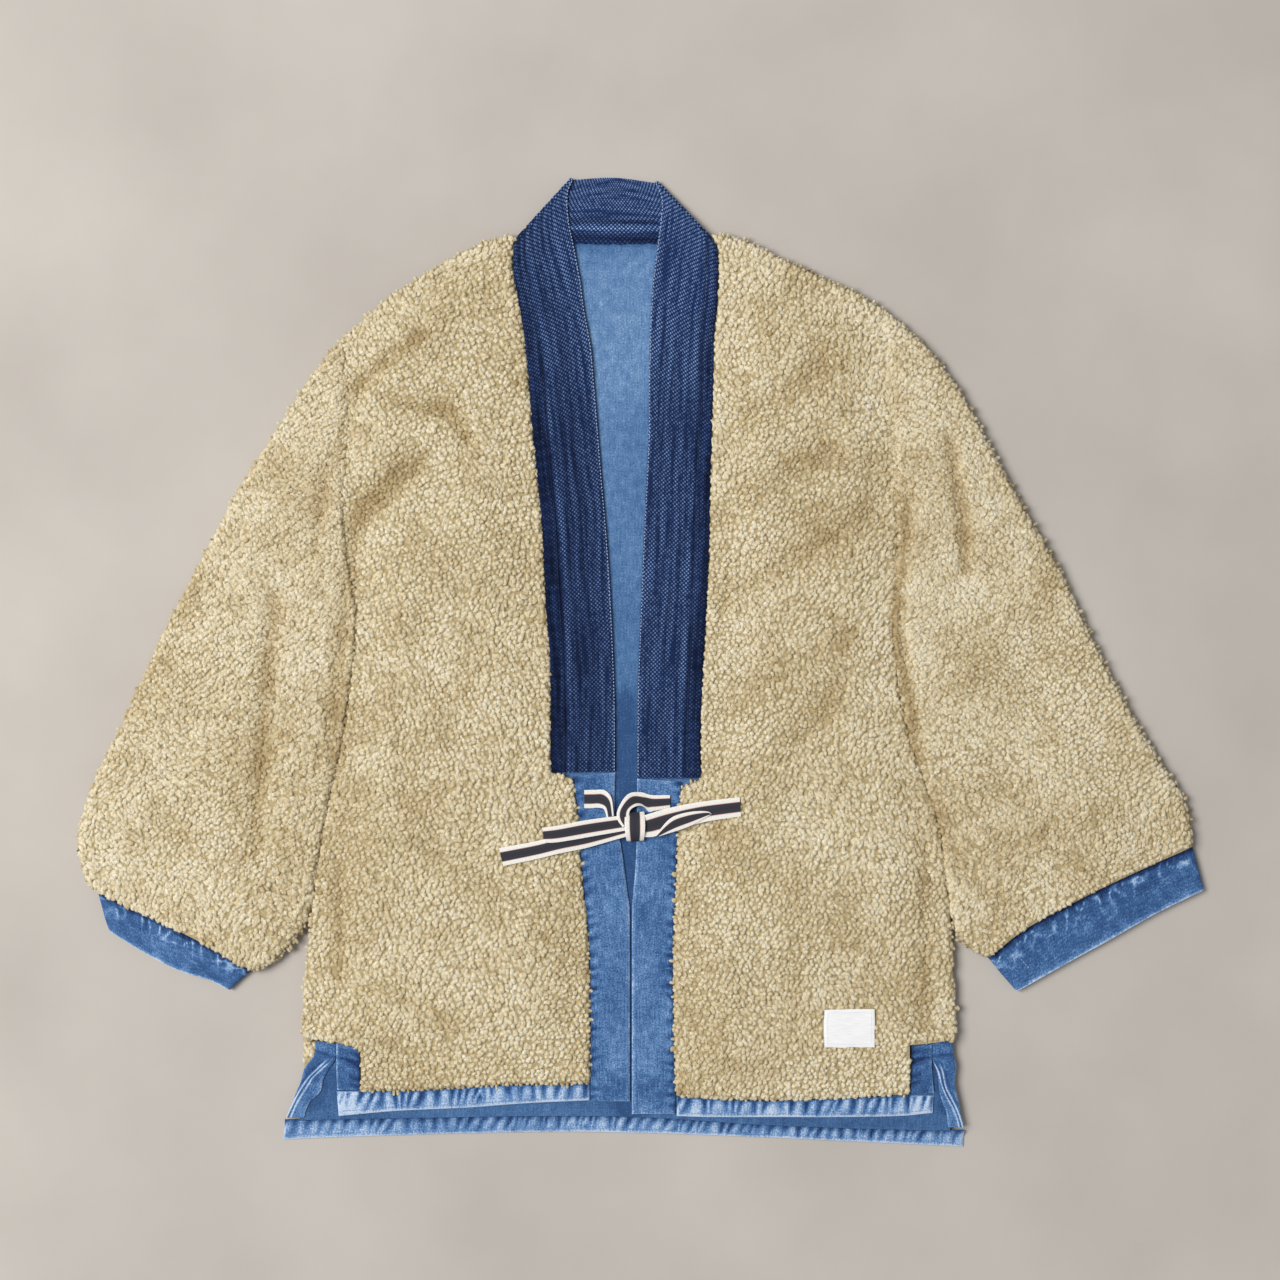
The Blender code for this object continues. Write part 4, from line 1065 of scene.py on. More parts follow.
@dataclass
class FrontPanel:
    """A fleece front, lofting over the back, with its vent corner cut away."""

    name: str
    shoulder: Points
    hem: Points
    left: Edge
    right: Edge
    cut: dict
    seed: int
    length: float = 740.0
    rows: int = 105
    columns: int = 30
    rim: tuple = (0.0, 0.5, 1.6, 4.5, 8.0)
    inset: float = 0.2
    radius: float = 5.0
    lowest: float = 0.3

    def table(self) -> tuple[Array, Array]:
        """Lays the front's ground out.

        Returns:
            Its points, and the height of its underside at each.
        """
        cloth = coons(along(self.shoulder), along(self.hem), self.left, self.right)
        downs = spread(self.length, list(self.rim), self.rows)
        shares = np.clip(downs, self.inset, self.length - self.inset) / self.length
        found = lay_out(cloth, downs, shares, self.inset, list(self.rim), self.columns)
        loft = np.maximum((FRONT_LOFT + swell(found[..., :2])) * rise(found[..., 2], 60)
                          - pressed(found[..., :2]) * rise(found[..., 2], 12), -1.2)
        body = self.lowest + (FLEECE - PILE_DEPTH - self.lowest) * roll(found[..., 2], self.radius)
        top = np.dstack([found[..., :2], FRONT_FLOOR + loft + body])
        return top, FRONT_FLOOR + np.maximum(loft, 0)

    def is_kept(self, points: Array) -> Array:
        """Whether points lie outside the vent's cut and the label."""
        x, y = points[..., 0], points[..., 1]
        edge_x, edge_y = np.array(self.cut["edge"]).T
        inside = x < self.cut["x"] + 0.8 if self.cut["x"] < 0 else x > self.cut["x"] - 0.8
        under_cut = inside & (y < np.interp(x, edge_x, edge_y) + 0.8)
        (x0, x1), (y0, y1) = LABEL_CORNERS["x"], LABEL_CORNERS["y"]
        under_label = (x > x0 - 0.6) & (x < x1 + 0.6) & (y > y0 - 0.6) & (y < y1 + 0.6)
        return ~(under_cut | under_label)

    def build(self) -> None:
        """Makes the ground and its curls."""
        top, floor = self.table()
        bottom = top.copy()
        bottom[..., 2] = np.minimum(floor, top[..., 2] - 0.2)
        keep = self.snap_cut(top, bottom)
        ground = slab(self.name + "_ground", top, bottom, keep, marks=ground_marks(top))
        curls = Pile(self.seed).grow(self.name + "_curls", top, self.is_kept)
        settle_fleece(ground, (curls,), self.name)

    def snap_cut(self, upper: Array, lower: Array) -> Array:
        """Moves both tables' lines onto the vent's cut edges, in place, and tells which cells stay."""
        sign = 1 if self.cut["x"] < 0 else -1
        edge_x, edge_y = np.array(self.cut["edge"]).T
        columns = np.arange(upper.shape[1])
        column = int(np.argmin(abs(upper[-1, :, 0] - self.cut["x"])))
        row = int(np.argmin(abs(upper[:, column, 1] - np.interp(self.cut["x"], edge_x, edge_y))))
        outside = columns <= column if sign > 0 else columns >= column
        for grid in (upper, lower):
            grid[row:, column, 0] = self.cut["x"] + sign * 0.5
            grid[row, outside, 1] = np.interp(grid[row, outside, 0], edge_x, edge_y) + 0.5
        keep = np.ones((upper.shape[0] - 1, upper.shape[1] - 1), bool)
        if sign > 0:
            keep[row:, :column] = False
        else:
            keep[row:, column:] = False
        return keep


# The body's armhole and side edges, half a gap inside the sleeve seams.
BODY_ARMHOLE_R, BODY_SIDE_R = shifted(ARMHOLE_R, CURVE_GAP / 2), shifted(SIDE_R, CURVE_GAP / 2)
BODY_ARMHOLE_L, BODY_SIDE_L = shifted(ARMHOLE_L, -CURVE_GAP / 2), shifted(SIDE_L, -CURVE_GAP / 2)


@dataclass
class BackPanel:
    """The back's fleece, curls down and flat on the floor, with the denim lining on it."""

    length: float = 840.0
    ground_low: float = 1.5
    ground_high: float = 5.2
    ground_radius: float = 4.5
    lining_wall: float = 1.0
    lining_inset: float = 14.0
    lining_end: float = 0.6
    lining_rows: int = 100
    # Where the lining lies in the shade of what is above it, painted as shade: route and reach.
    shades: tuple = (([(277, -380), (281, -400), (283, -415), (285, -424)], 3.5),
                     ([(-300, -392), (-306, -404), (-314, -420)], 5.0),
                     ([(-100, 396), (-27, 397), (50, 396)], 4.0),
                     ([(-17, -40), (-16, -105), (-12, -425)], 13.0))

    def cloth(self) -> Cloth:
        """The back's shape between its seams."""
        flare_r = BODY_SIDE_R[:-1] + [(-325, -403), (-341, -436)]
        flare_l = BODY_SIDE_L[:-1] + [(300, -400), (307, -446)]
        neckline = np.vstack([smooth(SHOULDER_R), smooth(NECK_SEAM), smooth(SHOULDER_L)])
        return coons(along([tuple(p) for p in neckline[::6]]), along(BACK_HEM_SEAM),
                     downward(BODY_ARMHOLE_R, flare_r), downward(BODY_ARMHOLE_L, flare_l))

    def places(self, inset: float, end_inset: float, rows: int, columns: int, rim: list[float]) -> Array:
        """Lays a layer of the back out, its sides and its ends that far inside the seams."""
        downs = spread(self.length - 2 * end_inset, rim, rows)
        return lay_out(self.cloth(), downs, (downs + end_inset) / self.length, inset, rim, columns)

    def is_beside_vent(self, points: Array) -> Array:
        """Whether points lie where the back's fleece shows beside the vents."""
        x, y = points[..., 0], points[..., 1]
        outer = np.array(VENT_FLAPS["vent_back_right"][0], float)
        return (y < -345) & (y > -400) & (x < np.interp(-y, -outer[:, 1], outer[:, 0]) - 1.5 + 5 * (y > -364))

    def is_well_inside(self, points: Array) -> Array:
        """Whether points lie clear of the hem and the vents, where a curl underneath would stick out."""
        x, y = points[..., 0], points[..., 1]
        return (y > -420) & ((y > -366) | ((x > -300) & (x < 264)))

    def build(self) -> None:
        """Makes the ground, its curls underneath and at the edges, and the lining."""
        found = self.places(1.0, 3.0, 60, 50, [0.0, 0.5, 1.6, 4.5])
        # Beside the left vent the facing hides the back's edge.
        found[..., 0] -= 0.22 * np.maximum(found[..., 0] - 280, 0) * rise(-352 - found[..., 1], 8)
        middle = (self.ground_low + self.ground_high) / 2
        round_off = roll(found[..., 2], self.ground_radius)
        top = np.dstack([found[..., :2], middle + (self.ground_high - middle) * round_off])
        bottom = np.dstack([found[..., :2], middle - (middle - self.ground_low) * round_off - 0.1])
        ground = slab("back_ground", top, bottom, marks=ground_marks(top))
        sparse = Pile(71, row_gap=6.6, root_gap=7.6, length=(11.0, 15.0), width=(8.5, 11.5), height=(1.3, 2.6),
                      sides=4)
        curls = sparse.grow("back_curls", bottom, self.is_well_inside, upward=False)
        beside = Pile(73).grow("back_edge_curls", top, self.is_beside_vent)
        settle_fleece(ground, (curls, beside), "back")
        self.build_lining()

    def build_lining(self) -> None:
        """Makes the lining: light denim, its warp running from neck to hem."""
        rim = [0.0, 4.0]
        found = self.places(self.lining_inset, self.lining_end, self.lining_rows, self.lining_rows, rim)
        x = found[..., 0]
        # At the neck it runs on under the collar's stand; at the shoulders it stops short of the seam.
        length = self.length - 2 * self.lining_end
        down = spread(length, rim, self.lining_rows)[:, None]
        y = found[..., 1] + np.where(abs(x + 27) < 80, 2.6, -3.0) * bell(down / 8)
        y = y - 2.0 * bell((length - down) / 8)
        place = np.dstack([x, y])
        table = np.dstack([place, LINING_FLOOR + self.lining_wall + 0.05 + 0.12 * Drift(5, 30)(place)])
        # Random variation, darker down from the neck, a painted shade near the hem, and painted shade along the routes
        # above.
        wear_and_shade = 0.5 + 0.12 * Drift(6, 45)(place) - 0.14 * rise(300 - y, 250) - 0.1 * rise(-300 - y, 60)
        for route, reach in self.shades:
            wear_and_shade = wear_and_shade - 0.5 * bell(to_route(found[..., :2], route) / reach)
        lining = laid_sheet("back_lining_denim", table, self.lining_wall, place * MM, {"wear_and_shade": np.clip(wear_and_shade, 0, 1)})
        settle(lining, WashedDenim(DenimWash.LIGHT), ("back_lining",))


@dataclass
class FlatTube:
    """A sleeve or cuff laid flat: two layers joined by a rounded fold along each side.

    The sides stay inset inside their edges; the upper layer billows by loft and sinks by dip at its ends.
    """

    top: Edge
    bottom: Edge
    outer: Edge
    inner: Edge
    length: float
    fold: float
    low: float
    high: float
    inset: float = 0.0
    loft: float = 0.0
    dip: float = 0.0

    def table(self, rows: list[float], flat_columns: int, turn_columns: int) -> tuple[Array, Array]:
        """Lays the tube's outer side out, all round.

        Args:
            rows: Distances down the tube.
            flat_columns: Columns on each flat layer.
            turn_columns: Columns round each fold.

        Returns:
            The points, whose last column is the first again, and (side, across, down) of each.
        """
        cloth = coons(self.top, self.bottom, self.outer, self.inner)
        turns = np.radians(np.linspace(-90, 90, turn_columns))
        found, facts = [], []
        for down in rows:
            v = down / self.length
            width = width_at(cloth, v)
            room = width - 2 * self.inset
            bow = self.fold * (1 - np.cos(turns))
            flat = np.linspace(self.fold, room - self.fold, flat_columns)[1:-1]
            across = np.concatenate([bow, flat, room - bow[::-1], flat[::-1], bow[:1]])
            side = np.concatenate([np.sin(turns), np.ones(len(flat)), np.sin(turns[::-1]), -np.ones(len(flat)), [-1.0]])
            place = cloth((across + self.inset) / width, np.full(len(across), v))
            edge = np.minimum(across, room - across)
            upper = rise(side, 1)
            swelling = (self.loft + swell(place)) * rise(edge, 60) - pressed(place) * rise(edge, 12)
            lifted = np.maximum(swelling * (self.loft > 0), -2.0)
            lifted *= upper * (0.35 + 0.65 * rise(np.array(min(down, self.length - down)), 60))
            start, end = (1 - roll(np.array(reach), 8) for reach in (down, self.length - down))
            sink = self.dip * start + 0.4 * self.dip * end
            half = (self.high - self.low) / 2
            z = self.low + half * (1 + side) + lifted - sink * upper
            found.append(np.column_stack([place, z]))
            facts.append(np.column_stack([side, across, np.full(len(side), down)]))
        return np.array(found), np.array(facts)


@dataclass
class Sleeve:
    """A fleece sleeve with its denim cuff."""

    side: str
    away: float
    top: Points
    under: Points
    armhole: Points
    seam: Points
    cuff_outer: Points
    cuff_inner: Points
    cuff_open: Points
    seed: int
    length: float = 560.0
    wall: float = 1.5
    cuff_length: float = 36.0
    cuff_wall: float = 2.2

    def build(self) -> None:
        """Makes the sleeve's ground and curls, then the cuff."""
        def moved(points: Points, drop: float = 0.0) -> Edge:
            """An edge moved off the neighbouring piece by the seam's gap."""
            return along(shifted(points, self.away, -drop))

        shape = FlatTube(moved(self.armhole), moved(self.seam), moved(self.top), moved(self.under), self.length,
                         fold=8.0, low=1.4, high=15.4 - PILE_DEPTH, inset=0.4, loft=1.3, dip=3.0)
        rows = list(spread(self.length, [0.0, 1.0, 3.0, 8.0], 80))
        table, _ = shape.table(rows, flat_columns=26, turn_columns=9)
        name = f"sleeve_{self.side}"
        ground = laid_sheet(name + "_ground", table, self.wall, table[..., :2] * MM, ground_marks(table), tube=True)
        curls = Pile(self.seed, row_gap=3.9, root_gap=4.3).grow(name + "_curls", table)
        settle_fleece(ground, (curls,), name)

        edges = (self.seam, self.cuff_open, self.cuff_outer, self.cuff_inner)
        cuff = FlatTube(*(moved(edge, CURVE_GAP) for edge in edges), self.cuff_length, fold=4.4, low=0.15, high=8.6)
        rows = list(spread(self.cuff_length, [0.0, 0.8, 2.0, 4.0], 20))
        table, facts = cuff.table(rows, flat_columns=105, turn_columns=7)
        side, down = facts[..., 0], facts[..., 2]
        arc = travelled_across(table)
        ridge = Puckers(self.seed + 9).height(arc, down)
        fade = np.exp(-down / 13)
        gather = np.clip(np.abs(side) * 1.2, 0, 1)
        # Only the upper layer is shaped: the other one lies on the floor.
        upper = side > 0.3
        table[..., 2] += upper * gather * (ridge - RIDGE_LEVEL) * 1.8 * fade - 0.5 * (1 - roll(down, 4)) * upper
        # Thin raised crinkles wander where the cloth is drawn in by the seam; they are painted paler, partly as rubbed
        # cloth and partly as painted highlight.
        wander = Drift(self.seed + 20, 8)(table)
        crinkle = bell(wander / 0.13) * bell(down / 15) * rise(down, 5)
        # Random variation and rubbed ridges; the crinkles paler; a painted shade of the gathers along the seam; paler
        # at the opening's rim.
        wear_and_shade = 0.34 + 0.1 * Drift(self.seed + 21, 14)(table) + 0.3 * (ridge - RIDGE_LEVEL) * fade
        wear_and_shade = wear_and_shade + 0.75 * crinkle - 0.45 * bell(down / 4.5)
        wear_and_shade = wear_and_shade + 0.6 * np.exp(-(self.cuff_length - down) / 1.6)
        table[..., 2] += upper * 0.45 * crinkle
        uv = np.dstack([down, arc]) * MM
        made = laid_sheet(f"cuff_{self.side}_denim", table, self.cuff_wall, uv, {"wear_and_shade": wear_and_shade}, tube=True)
        settle(made, MID_DENIM, (f"cuff_{self.side}",))
        if self.side == "left":
            line = np.array([(353.4, -276.4, 8.9), (362, -286, 8.9), (369.5, -294.0, 8.8)])
            StitchRow("cuff_left_stitches").build(line, PALE_THREAD, "denim_mid")


@dataclass
class Puckers:
    """Ridges that shrunk stitching ropes into denim, irregular and leaning both ways."""

    seed: int
    pitch: float = 10.0
    lean: float = 0.35
    count: int = 400

    def height(self, arc: Array, depth: Array) -> Array:
        """How high the ridges stand.

        Args:
            arc: Millimetres along the seam.
            depth: Millimetres away from it.

        Returns:
            0 in a valley to 1 on a ridge.
        """
        rng = np.random.default_rng(self.seed)
        marks = np.cumsum(rng.uniform(0.45, 1.55, self.count)) * self.pitch - self.pitch
        slopes = (rng.uniform(-1, 1, self.count) + 0.7) * self.lean
        slope = np.interp(arc, marks, slopes)
        phase = np.interp(arc + slope * depth, marks, np.arange(self.count))
        wave = 0.5 - 0.5 * np.cos(2 * math.pi * phase)
        strength = np.interp(arc, marks, rng.uniform(0.45, 1, self.count))
        reach = np.interp(arc, marks, rng.uniform(8, 36, self.count))
        return 1 - (1 - wave ** 0.55) * strength * bell(depth / reach)


@dataclass
class DenimBand:
    """A folded denim band between a seam and a free edge, roped along the seam.

    Distances are from the seam. The number that colours the denim runs from 0, dark, to 1, rubbed white, and also
    carries a painted shadow along the seam.
    """

    name: str
    seam: Edge
    free: Edge
    seed: int
    floor: float = FRONT_FLOOR
    drop: float = 0.0
    rope: float = 1.5
    fade: float = 12.0
    step: float = 1.7
    columns: int = 16
    base_wear: float = 0.4
    free_wear: float = 0.42
    rests_on: tuple[str, ...] = ("back_lining",)
    contrast: float = 0.8
    seam_shade: float = 0.25
    warp_across: bool = False
    cross_seam: float = 0.0
    stitched: float = 3.4
    wall: float = 1.9
    bare_beyond: tuple[float, float] = (-1e3, 1e3)

    def build(self) -> None:
        """Makes the band and the row of stitches along its free edge."""
        fine = np.linspace(0, 1, 400)
        length = float(steps(self.seam(fine)).sum())
        t = np.linspace(0, 1, int(length / self.step) + 2)
        start, end = self.seam(t), self.free(t)
        share = np.concatenate([[0, 0.02, 0.06], np.linspace(0.12, 0.92, self.columns), [0.96, 0.985, 1]])
        place = between(start, end, share)
        width = np.linalg.norm(end - start, axis=1)[:, None]
        deep = width * share[None]
        left = width - deep
        arc = np.broadcast_to((t * length)[:, None], deep.shape)
        ends = np.minimum(arc, length - arc)
        ridge = Puckers(self.seed).height(arc, deep)
        strength = bell(deep / self.fade) * roll(deep, 3) * rise(left, 4)
        fall = self.drop * (1 - rise(share, 0.45))[None]
        body = (BAND - 0.25) * (0.5 + 0.5 * roll(np.minimum(deep, left), 2.2) * roll(ends, 2.2))
        z = self.floor + fall + body + (ridge - RIDGE_LEVEL) * self.rope * strength
        table = np.dstack([place, z])
        swing = Drift(self.seed + 4, 24)(place)
        # Rubbed ropes, random swing, a rubbed free edge and paler ends; seam_shade is a painted shadow along the seam.
        wear_and_shade = (self.base_wear + self.contrast * (ridge - RIDGE_LEVEL) * strength + 0.1 * swing
                + self.free_wear * bell(left / 1.8) - self.seam_shade * np.exp(-deep / 2.0)
                + 0.22 * np.exp(-ends / 1.2))
        bare = (place[..., 0] < self.bare_beyond[0]) | (place[..., 0] > self.bare_beyond[1])
        wear_and_shade = wear_and_shade + bare * (0.16 + 0.4 * np.exp(-deep / 1.3))
        if self.cross_seam:
            wear_and_shade = wear_and_shade - 0.35 * bell((arc - self.cross_seam) / 1.1)
        uv = np.dstack([arc, deep] if self.warp_across else [deep, arc]) * MM
        made = laid_sheet(self.name + "_denim", table, self.wall, uv, {"wear_and_shade": np.clip(wear_and_shade, 0, 1)})
        if self.stitched:
            row = int(np.argmin(abs(left.mean(0) - self.stitched)))
            StitchRow(self.name + "_denim_stitches").build(table[2:-2, row] + (0, 0, 0.1), BLUE_THREAD, "denim_mid")
        settle(made, MID_DENIM, (self.name,))


@dataclass
class CollarBand:
    """The collar band: up one front edge, folded on the bias beside the neck, along the back and down."""

    seam_z: float = FRONT_FLOOR + 3.5
    free_z: float = FRONT_FLOOR + 1.7
    top_z: float = 5.6
    corner_inset: float = 3.0
    arm_rows: int = 165
    stand_rows: int = 50
    seam_strip: float = 13.0
    scallop: float = 8.6

    def arm(self, seam_points: Points, free_points: Points, inward: int) -> list[tuple]:
        """Cross sections down one front edge.

        Args:
            seam_points: The seam with the fleece.
            free_points: The free edge.
            inward: 1 or -1, the way from the seam to the free edge in x.

        Returns:
            Rows of seam point, free point and facing.
        """
        seam, free = downward(seam_points), along(free_points)
        t = np.concatenate([np.linspace(0, 0.06, 20)[:-1], np.linspace(0.06, 1, self.arm_rows)])
        inset = self.corner_inset * rise(1 - t / 0.015, 1)
        low = seam(t) + np.column_stack([(2 * CURVE_GAP + inset) * inward, -inset])
        high = free(t ** 0.93)
        above = np.maximum(high[:, 1] - NECK_SEAM[2][1], 0) / (COLLAR_TOP[0][1] - NECK_SEAM[2][1])
        free_z = self.free_z + above * (self.top_z - self.free_z)
        up = np.array([0, 0, 1.0])
        return [(np.append(a, self.seam_z), np.append(b, z), up) for a, b, z in zip(low, high, free_z)]

    def bias_fold(self, edge: tuple, outward: Array, radius: float) -> list[tuple]:
        """Cross sections of the half turn at the neck's side, from the arm's edge down to the stand."""
        turned = []
        for degrees in range(15, 180, 15):
            angle = math.radians(degrees)
            normal = outward * math.sin(angle) + np.array([0, 0, math.cos(angle)])
            shift = np.array([0, 0, -radius]) + normal * radius
            turned.append((edge[0] + shift, edge[1] + shift, normal))
        return turned

    def stand(self, right: tuple, left: tuple, radius: float) -> list[tuple]:
        """The stretch behind the neck, its inner face up.

        Args:
            right: First cross section of the arm at -X.
            left: First cross section of the arm at +X.
            radius: The bias folds' radius.

        Returns:
            Cross sections from one fold to the other.
        """
        drop = np.array([0, 0, -2 * radius])
        seam = along([tuple(right[0][:2]), *NECK_SEAM[1:-1], tuple(left[0][:2])])
        free = along(COLLAR_TOP)
        rows = []
        for t in np.linspace(0, 1, self.stand_rows):
            low, high = seam(np.array(t)), free(np.array(t))
            seam_z = right[0][2] * (1 - t) + left[0][2] * t
            free_z = right[1][2] * (1 - t) + left[1][2] * t
            rows.append((np.append(low + (0, SEAM_GAP), seam_z) + drop, np.append(high, free_z) + drop,
                         np.array([0, 0, -1.0])))
        return rows

    def sections(self) -> tuple[Array, Array, Array]:
        """The band's cross sections from end to end: seam points, free points and facings."""
        radius = COLLAR / 2 + SEAM_GAP
        right = self.arm(COLLAR_SEAM_R, COLLAR_FREE_R, 1)
        left = self.arm(COLLAR_SEAM_L, COLLAR_FREE_L, -1)
        sections = right[::-1]
        sections += self.bias_fold(right[0], np.array([-0.74, 0.67, 0]), radius)
        sections += self.stand(right[0], left[0], radius)
        sections += self.bias_fold(left[0], np.array([0.74, 0.67, 0]), radius)[::-1]
        sections += left
        return tuple(np.array([row[k] for row in sections]) for k in range(3))

    def build(self) -> None:
        """Makes the band, its roped seam strip and its two rows of stitches."""
        seam, free, normal = self.sections()
        width = np.linalg.norm(free - seam, axis=1)[:, None]
        share = np.concatenate([[0, 0.008, 0.025, 0.05], np.linspace(0.08, 0.3, 9), np.linspace(0.34, 0.93, 12),
                                [0.965, 0.985, 1]])
        deep = width * share[None]
        left_over = width - deep
        arc = travelled(seam * 0.7 + free * 0.3)[:, None] + 0 * deep
        ends = np.minimum(arc, arc[-1, 0] - arc)
        ridge = Puckers(31, pitch=self.scallop, lean=0.25).height(arc, deep)
        near = bell(deep / 6.0)
        body = (0.35 + 0.65 * roll(np.minimum(deep, left_over), 2.0)) * roll(ends + 0.6, 2.0)
        groove = 1.1 * bell((deep - self.seam_strip) / 1.3)
        quilt = 0.22 * np.sin(deep * 2 * math.pi / 12.5) * rise(deep - self.seam_strip, 8)
        down = left_over / width
        furrows = 0.6 * bell((down - 0.68) / 0.03) + 0.45 * bell((down - 0.93) / 0.015)
        up = (COLLAR / 2 * body - groove + 0.8 * (ridge - RIDGE_LEVEL) * near * roll(deep, 2) + quilt
              - furrows * (normal[:, 2:] < -0.5))
        across = between(seam, free, share)
        outward = (seam - free) / width
        across = across + outward[:, None] * (ridge * 2.0 * np.exp(-deep / 3))[..., None]
        upper = across + normal[:, None] * up[..., None]
        lower = across - normal[:, None] * (COLLAR / 2 - 0.2)
        facing = normal[:, 2:] + 0 * deep
        in_front = (seam + free)[:, :1] / 2 + 0 * deep
        wear_and_shade = self.wear_and_shade(deep, left_over, across, facing, in_front, ridge)
        uv = np.dstack([arc, deep]) * MM
        made = slab("collar_weave", upper, lower, uv=uv, marks={"wear_and_shade": wear_and_shade})
        StitchRow("collar_edge_stitches", 3.2, 1.9, 1.1).build(upper[:, -2] + normal * 0.15, PALE_THREAD,
                                                               "sashiko_indigo")
        strip = int(np.argmin(abs(deep.mean(0) - self.seam_strip)))
        StitchRow("collar_strip_stitches").build(upper[:, strip] + normal * 0.1, NAVY_THREAD, "sashiko_indigo")
        settle(made, DottedWeave(), ("collar",))

    def wear_and_shade(self, deep: Array, left_over: Array, across: Array, facing: Array,
             in_front: Array, ridge: Array) -> Array:
        """How pale the weave is: rubbed at the edges and on the stand, dark on the seam strip, with painted shade in
        the strip's groove and in the stand's furrows.

        Args:
            deep: Distance from the seam.
            left_over: Distance from the free edge.
            across: The points.
            facing: Which way up the band lies.
            in_front: The band's middle in x, which tells its arms apart.
            ridge: The seam strip's ridges.

        Returns:
            0 dark to 1 pale, for each point.
        """
        y = across[..., 1]
        base = 0.4 + 0.22 * rise(y - 180, 220) + 0.08 * (in_front > 0)
        base = base - 0.34 * np.exp(-((deep / 12.0) ** 4)) + 0.2 * (ridge - RIDGE_LEVEL) * (deep < 14)
        for place, reach in ((25.0, 3.5), (37.0, 3.5)):
            base = base - 0.22 * bell((deep - place) / reach) * (in_front < -40)
        # Painted shade in the seam strip's groove, and a paler line just beyond it.
        base = base - 0.3 * bell((deep - self.seam_strip) / 1.4)
        base = base + 0.16 * bell((deep - self.seam_strip - 3.2) / 1.4)
        down = left_over / (left_over + deep)
        behind = facing < -0.5
        # On the stand, painted shade in its first furrow, paler beyond it, and darker from there to the neck seam, over
        # its second furrow.
        base = np.where(behind, 0.72 - 0.5 * bell((down - 0.68) / 0.035)
                        + 0.3 * bell((down - 0.79) / 0.025) - 0.6 * rise(down - 0.83, 0.06), base)
        return np.clip(base + 0.3 * np.exp(-left_over / 1.5), 0, 1)


@dataclass
class Tie:
    """The two tapes, knotted in front, with their free ends laid out to the sides."""

    wall: float = 0.9

    def build(self) -> None:
        """Makes the stitched ends, the tails, the loop and the wrap of the knot."""
        loop, _ = self.ribbon("tie_loop_tape", *TIE_RIBBONS["tie_loop"])
        settle(loop, StripedTape())
        for name, (one, other) in TIE_RIBBONS.items():
            if name != "tie_loop":
                made, table = self.ribbon(name + "_tape", one, other)
                settle(made, StripedTape(), (name,))

    def ribbon(self, name: str, one: list, other: list) -> tuple[Piece, Array]:
        """A stretch of tape between its two selvedges, and its table of points."""
        t = np.linspace(0, 1, 60)
        a, b = along(one)(t), along(other)(t)
        share = np.array([0, 0.04, 0.12, 0.2, 0.3, 0.4, 0.5, 0.6, 0.7, 0.8, 0.88, 0.96, 1])
        table = between(a, b, share)
        table[..., 2] -= 0.25 * (1 - roll(np.minimum(share, 1 - share), 0.08))[None]
        arc = travelled((a + b) / 2)[:, None] * MM + 0 * share[None]
        uv = np.dstack([arc, np.broadcast_to(share, arc.shape)])
        return laid_sheet(name, table, self.wall, uv), table


@dataclass
class Label:
    """The small woven label, flat on the fleece, blank, a little wavy and stitched round."""

    height: float = 17.9
    wall: float = 0.5

    def build(self) -> None:
        """Makes the label."""
        (x0, x1), (y0, y1) = LABEL_CORNERS["x"], LABEL_CORNERS["y"]
        x, y = np.meshgrid(np.linspace(x0, x1, 29), np.linspace(y1, y0, 23))
        place = np.dstack([x, y])
        edge = np.minimum(np.minimum(x - x0, x1 - x), np.minimum(y - y0, y1 - y))
        z = self.height + 0.35 * Drift(83, 12)(place) - 0.3 * (1 - roll(edge, 1.5))
        loose = 0.5 * (1 - rise(edge, 6))
        table = np.dstack([x + Drift(81, 9)(place) * loose, y + Drift(82, 9)(place) * loose, z])
        made = laid_sheet("label_cloth", table, self.wall, place * MM)
        rim = np.concatenate([table[2, 2:-2], table[2:-2, -3], table[-3, 2:-2][::-1], table[2:-2, 2][::-1]])
        StitchRow("label_stitches", 2.4, 1.7, 0.55).build(rim, WHITE_THREAD, "label_white")
        settle(made, WovenLabelCloth(), ("label",))


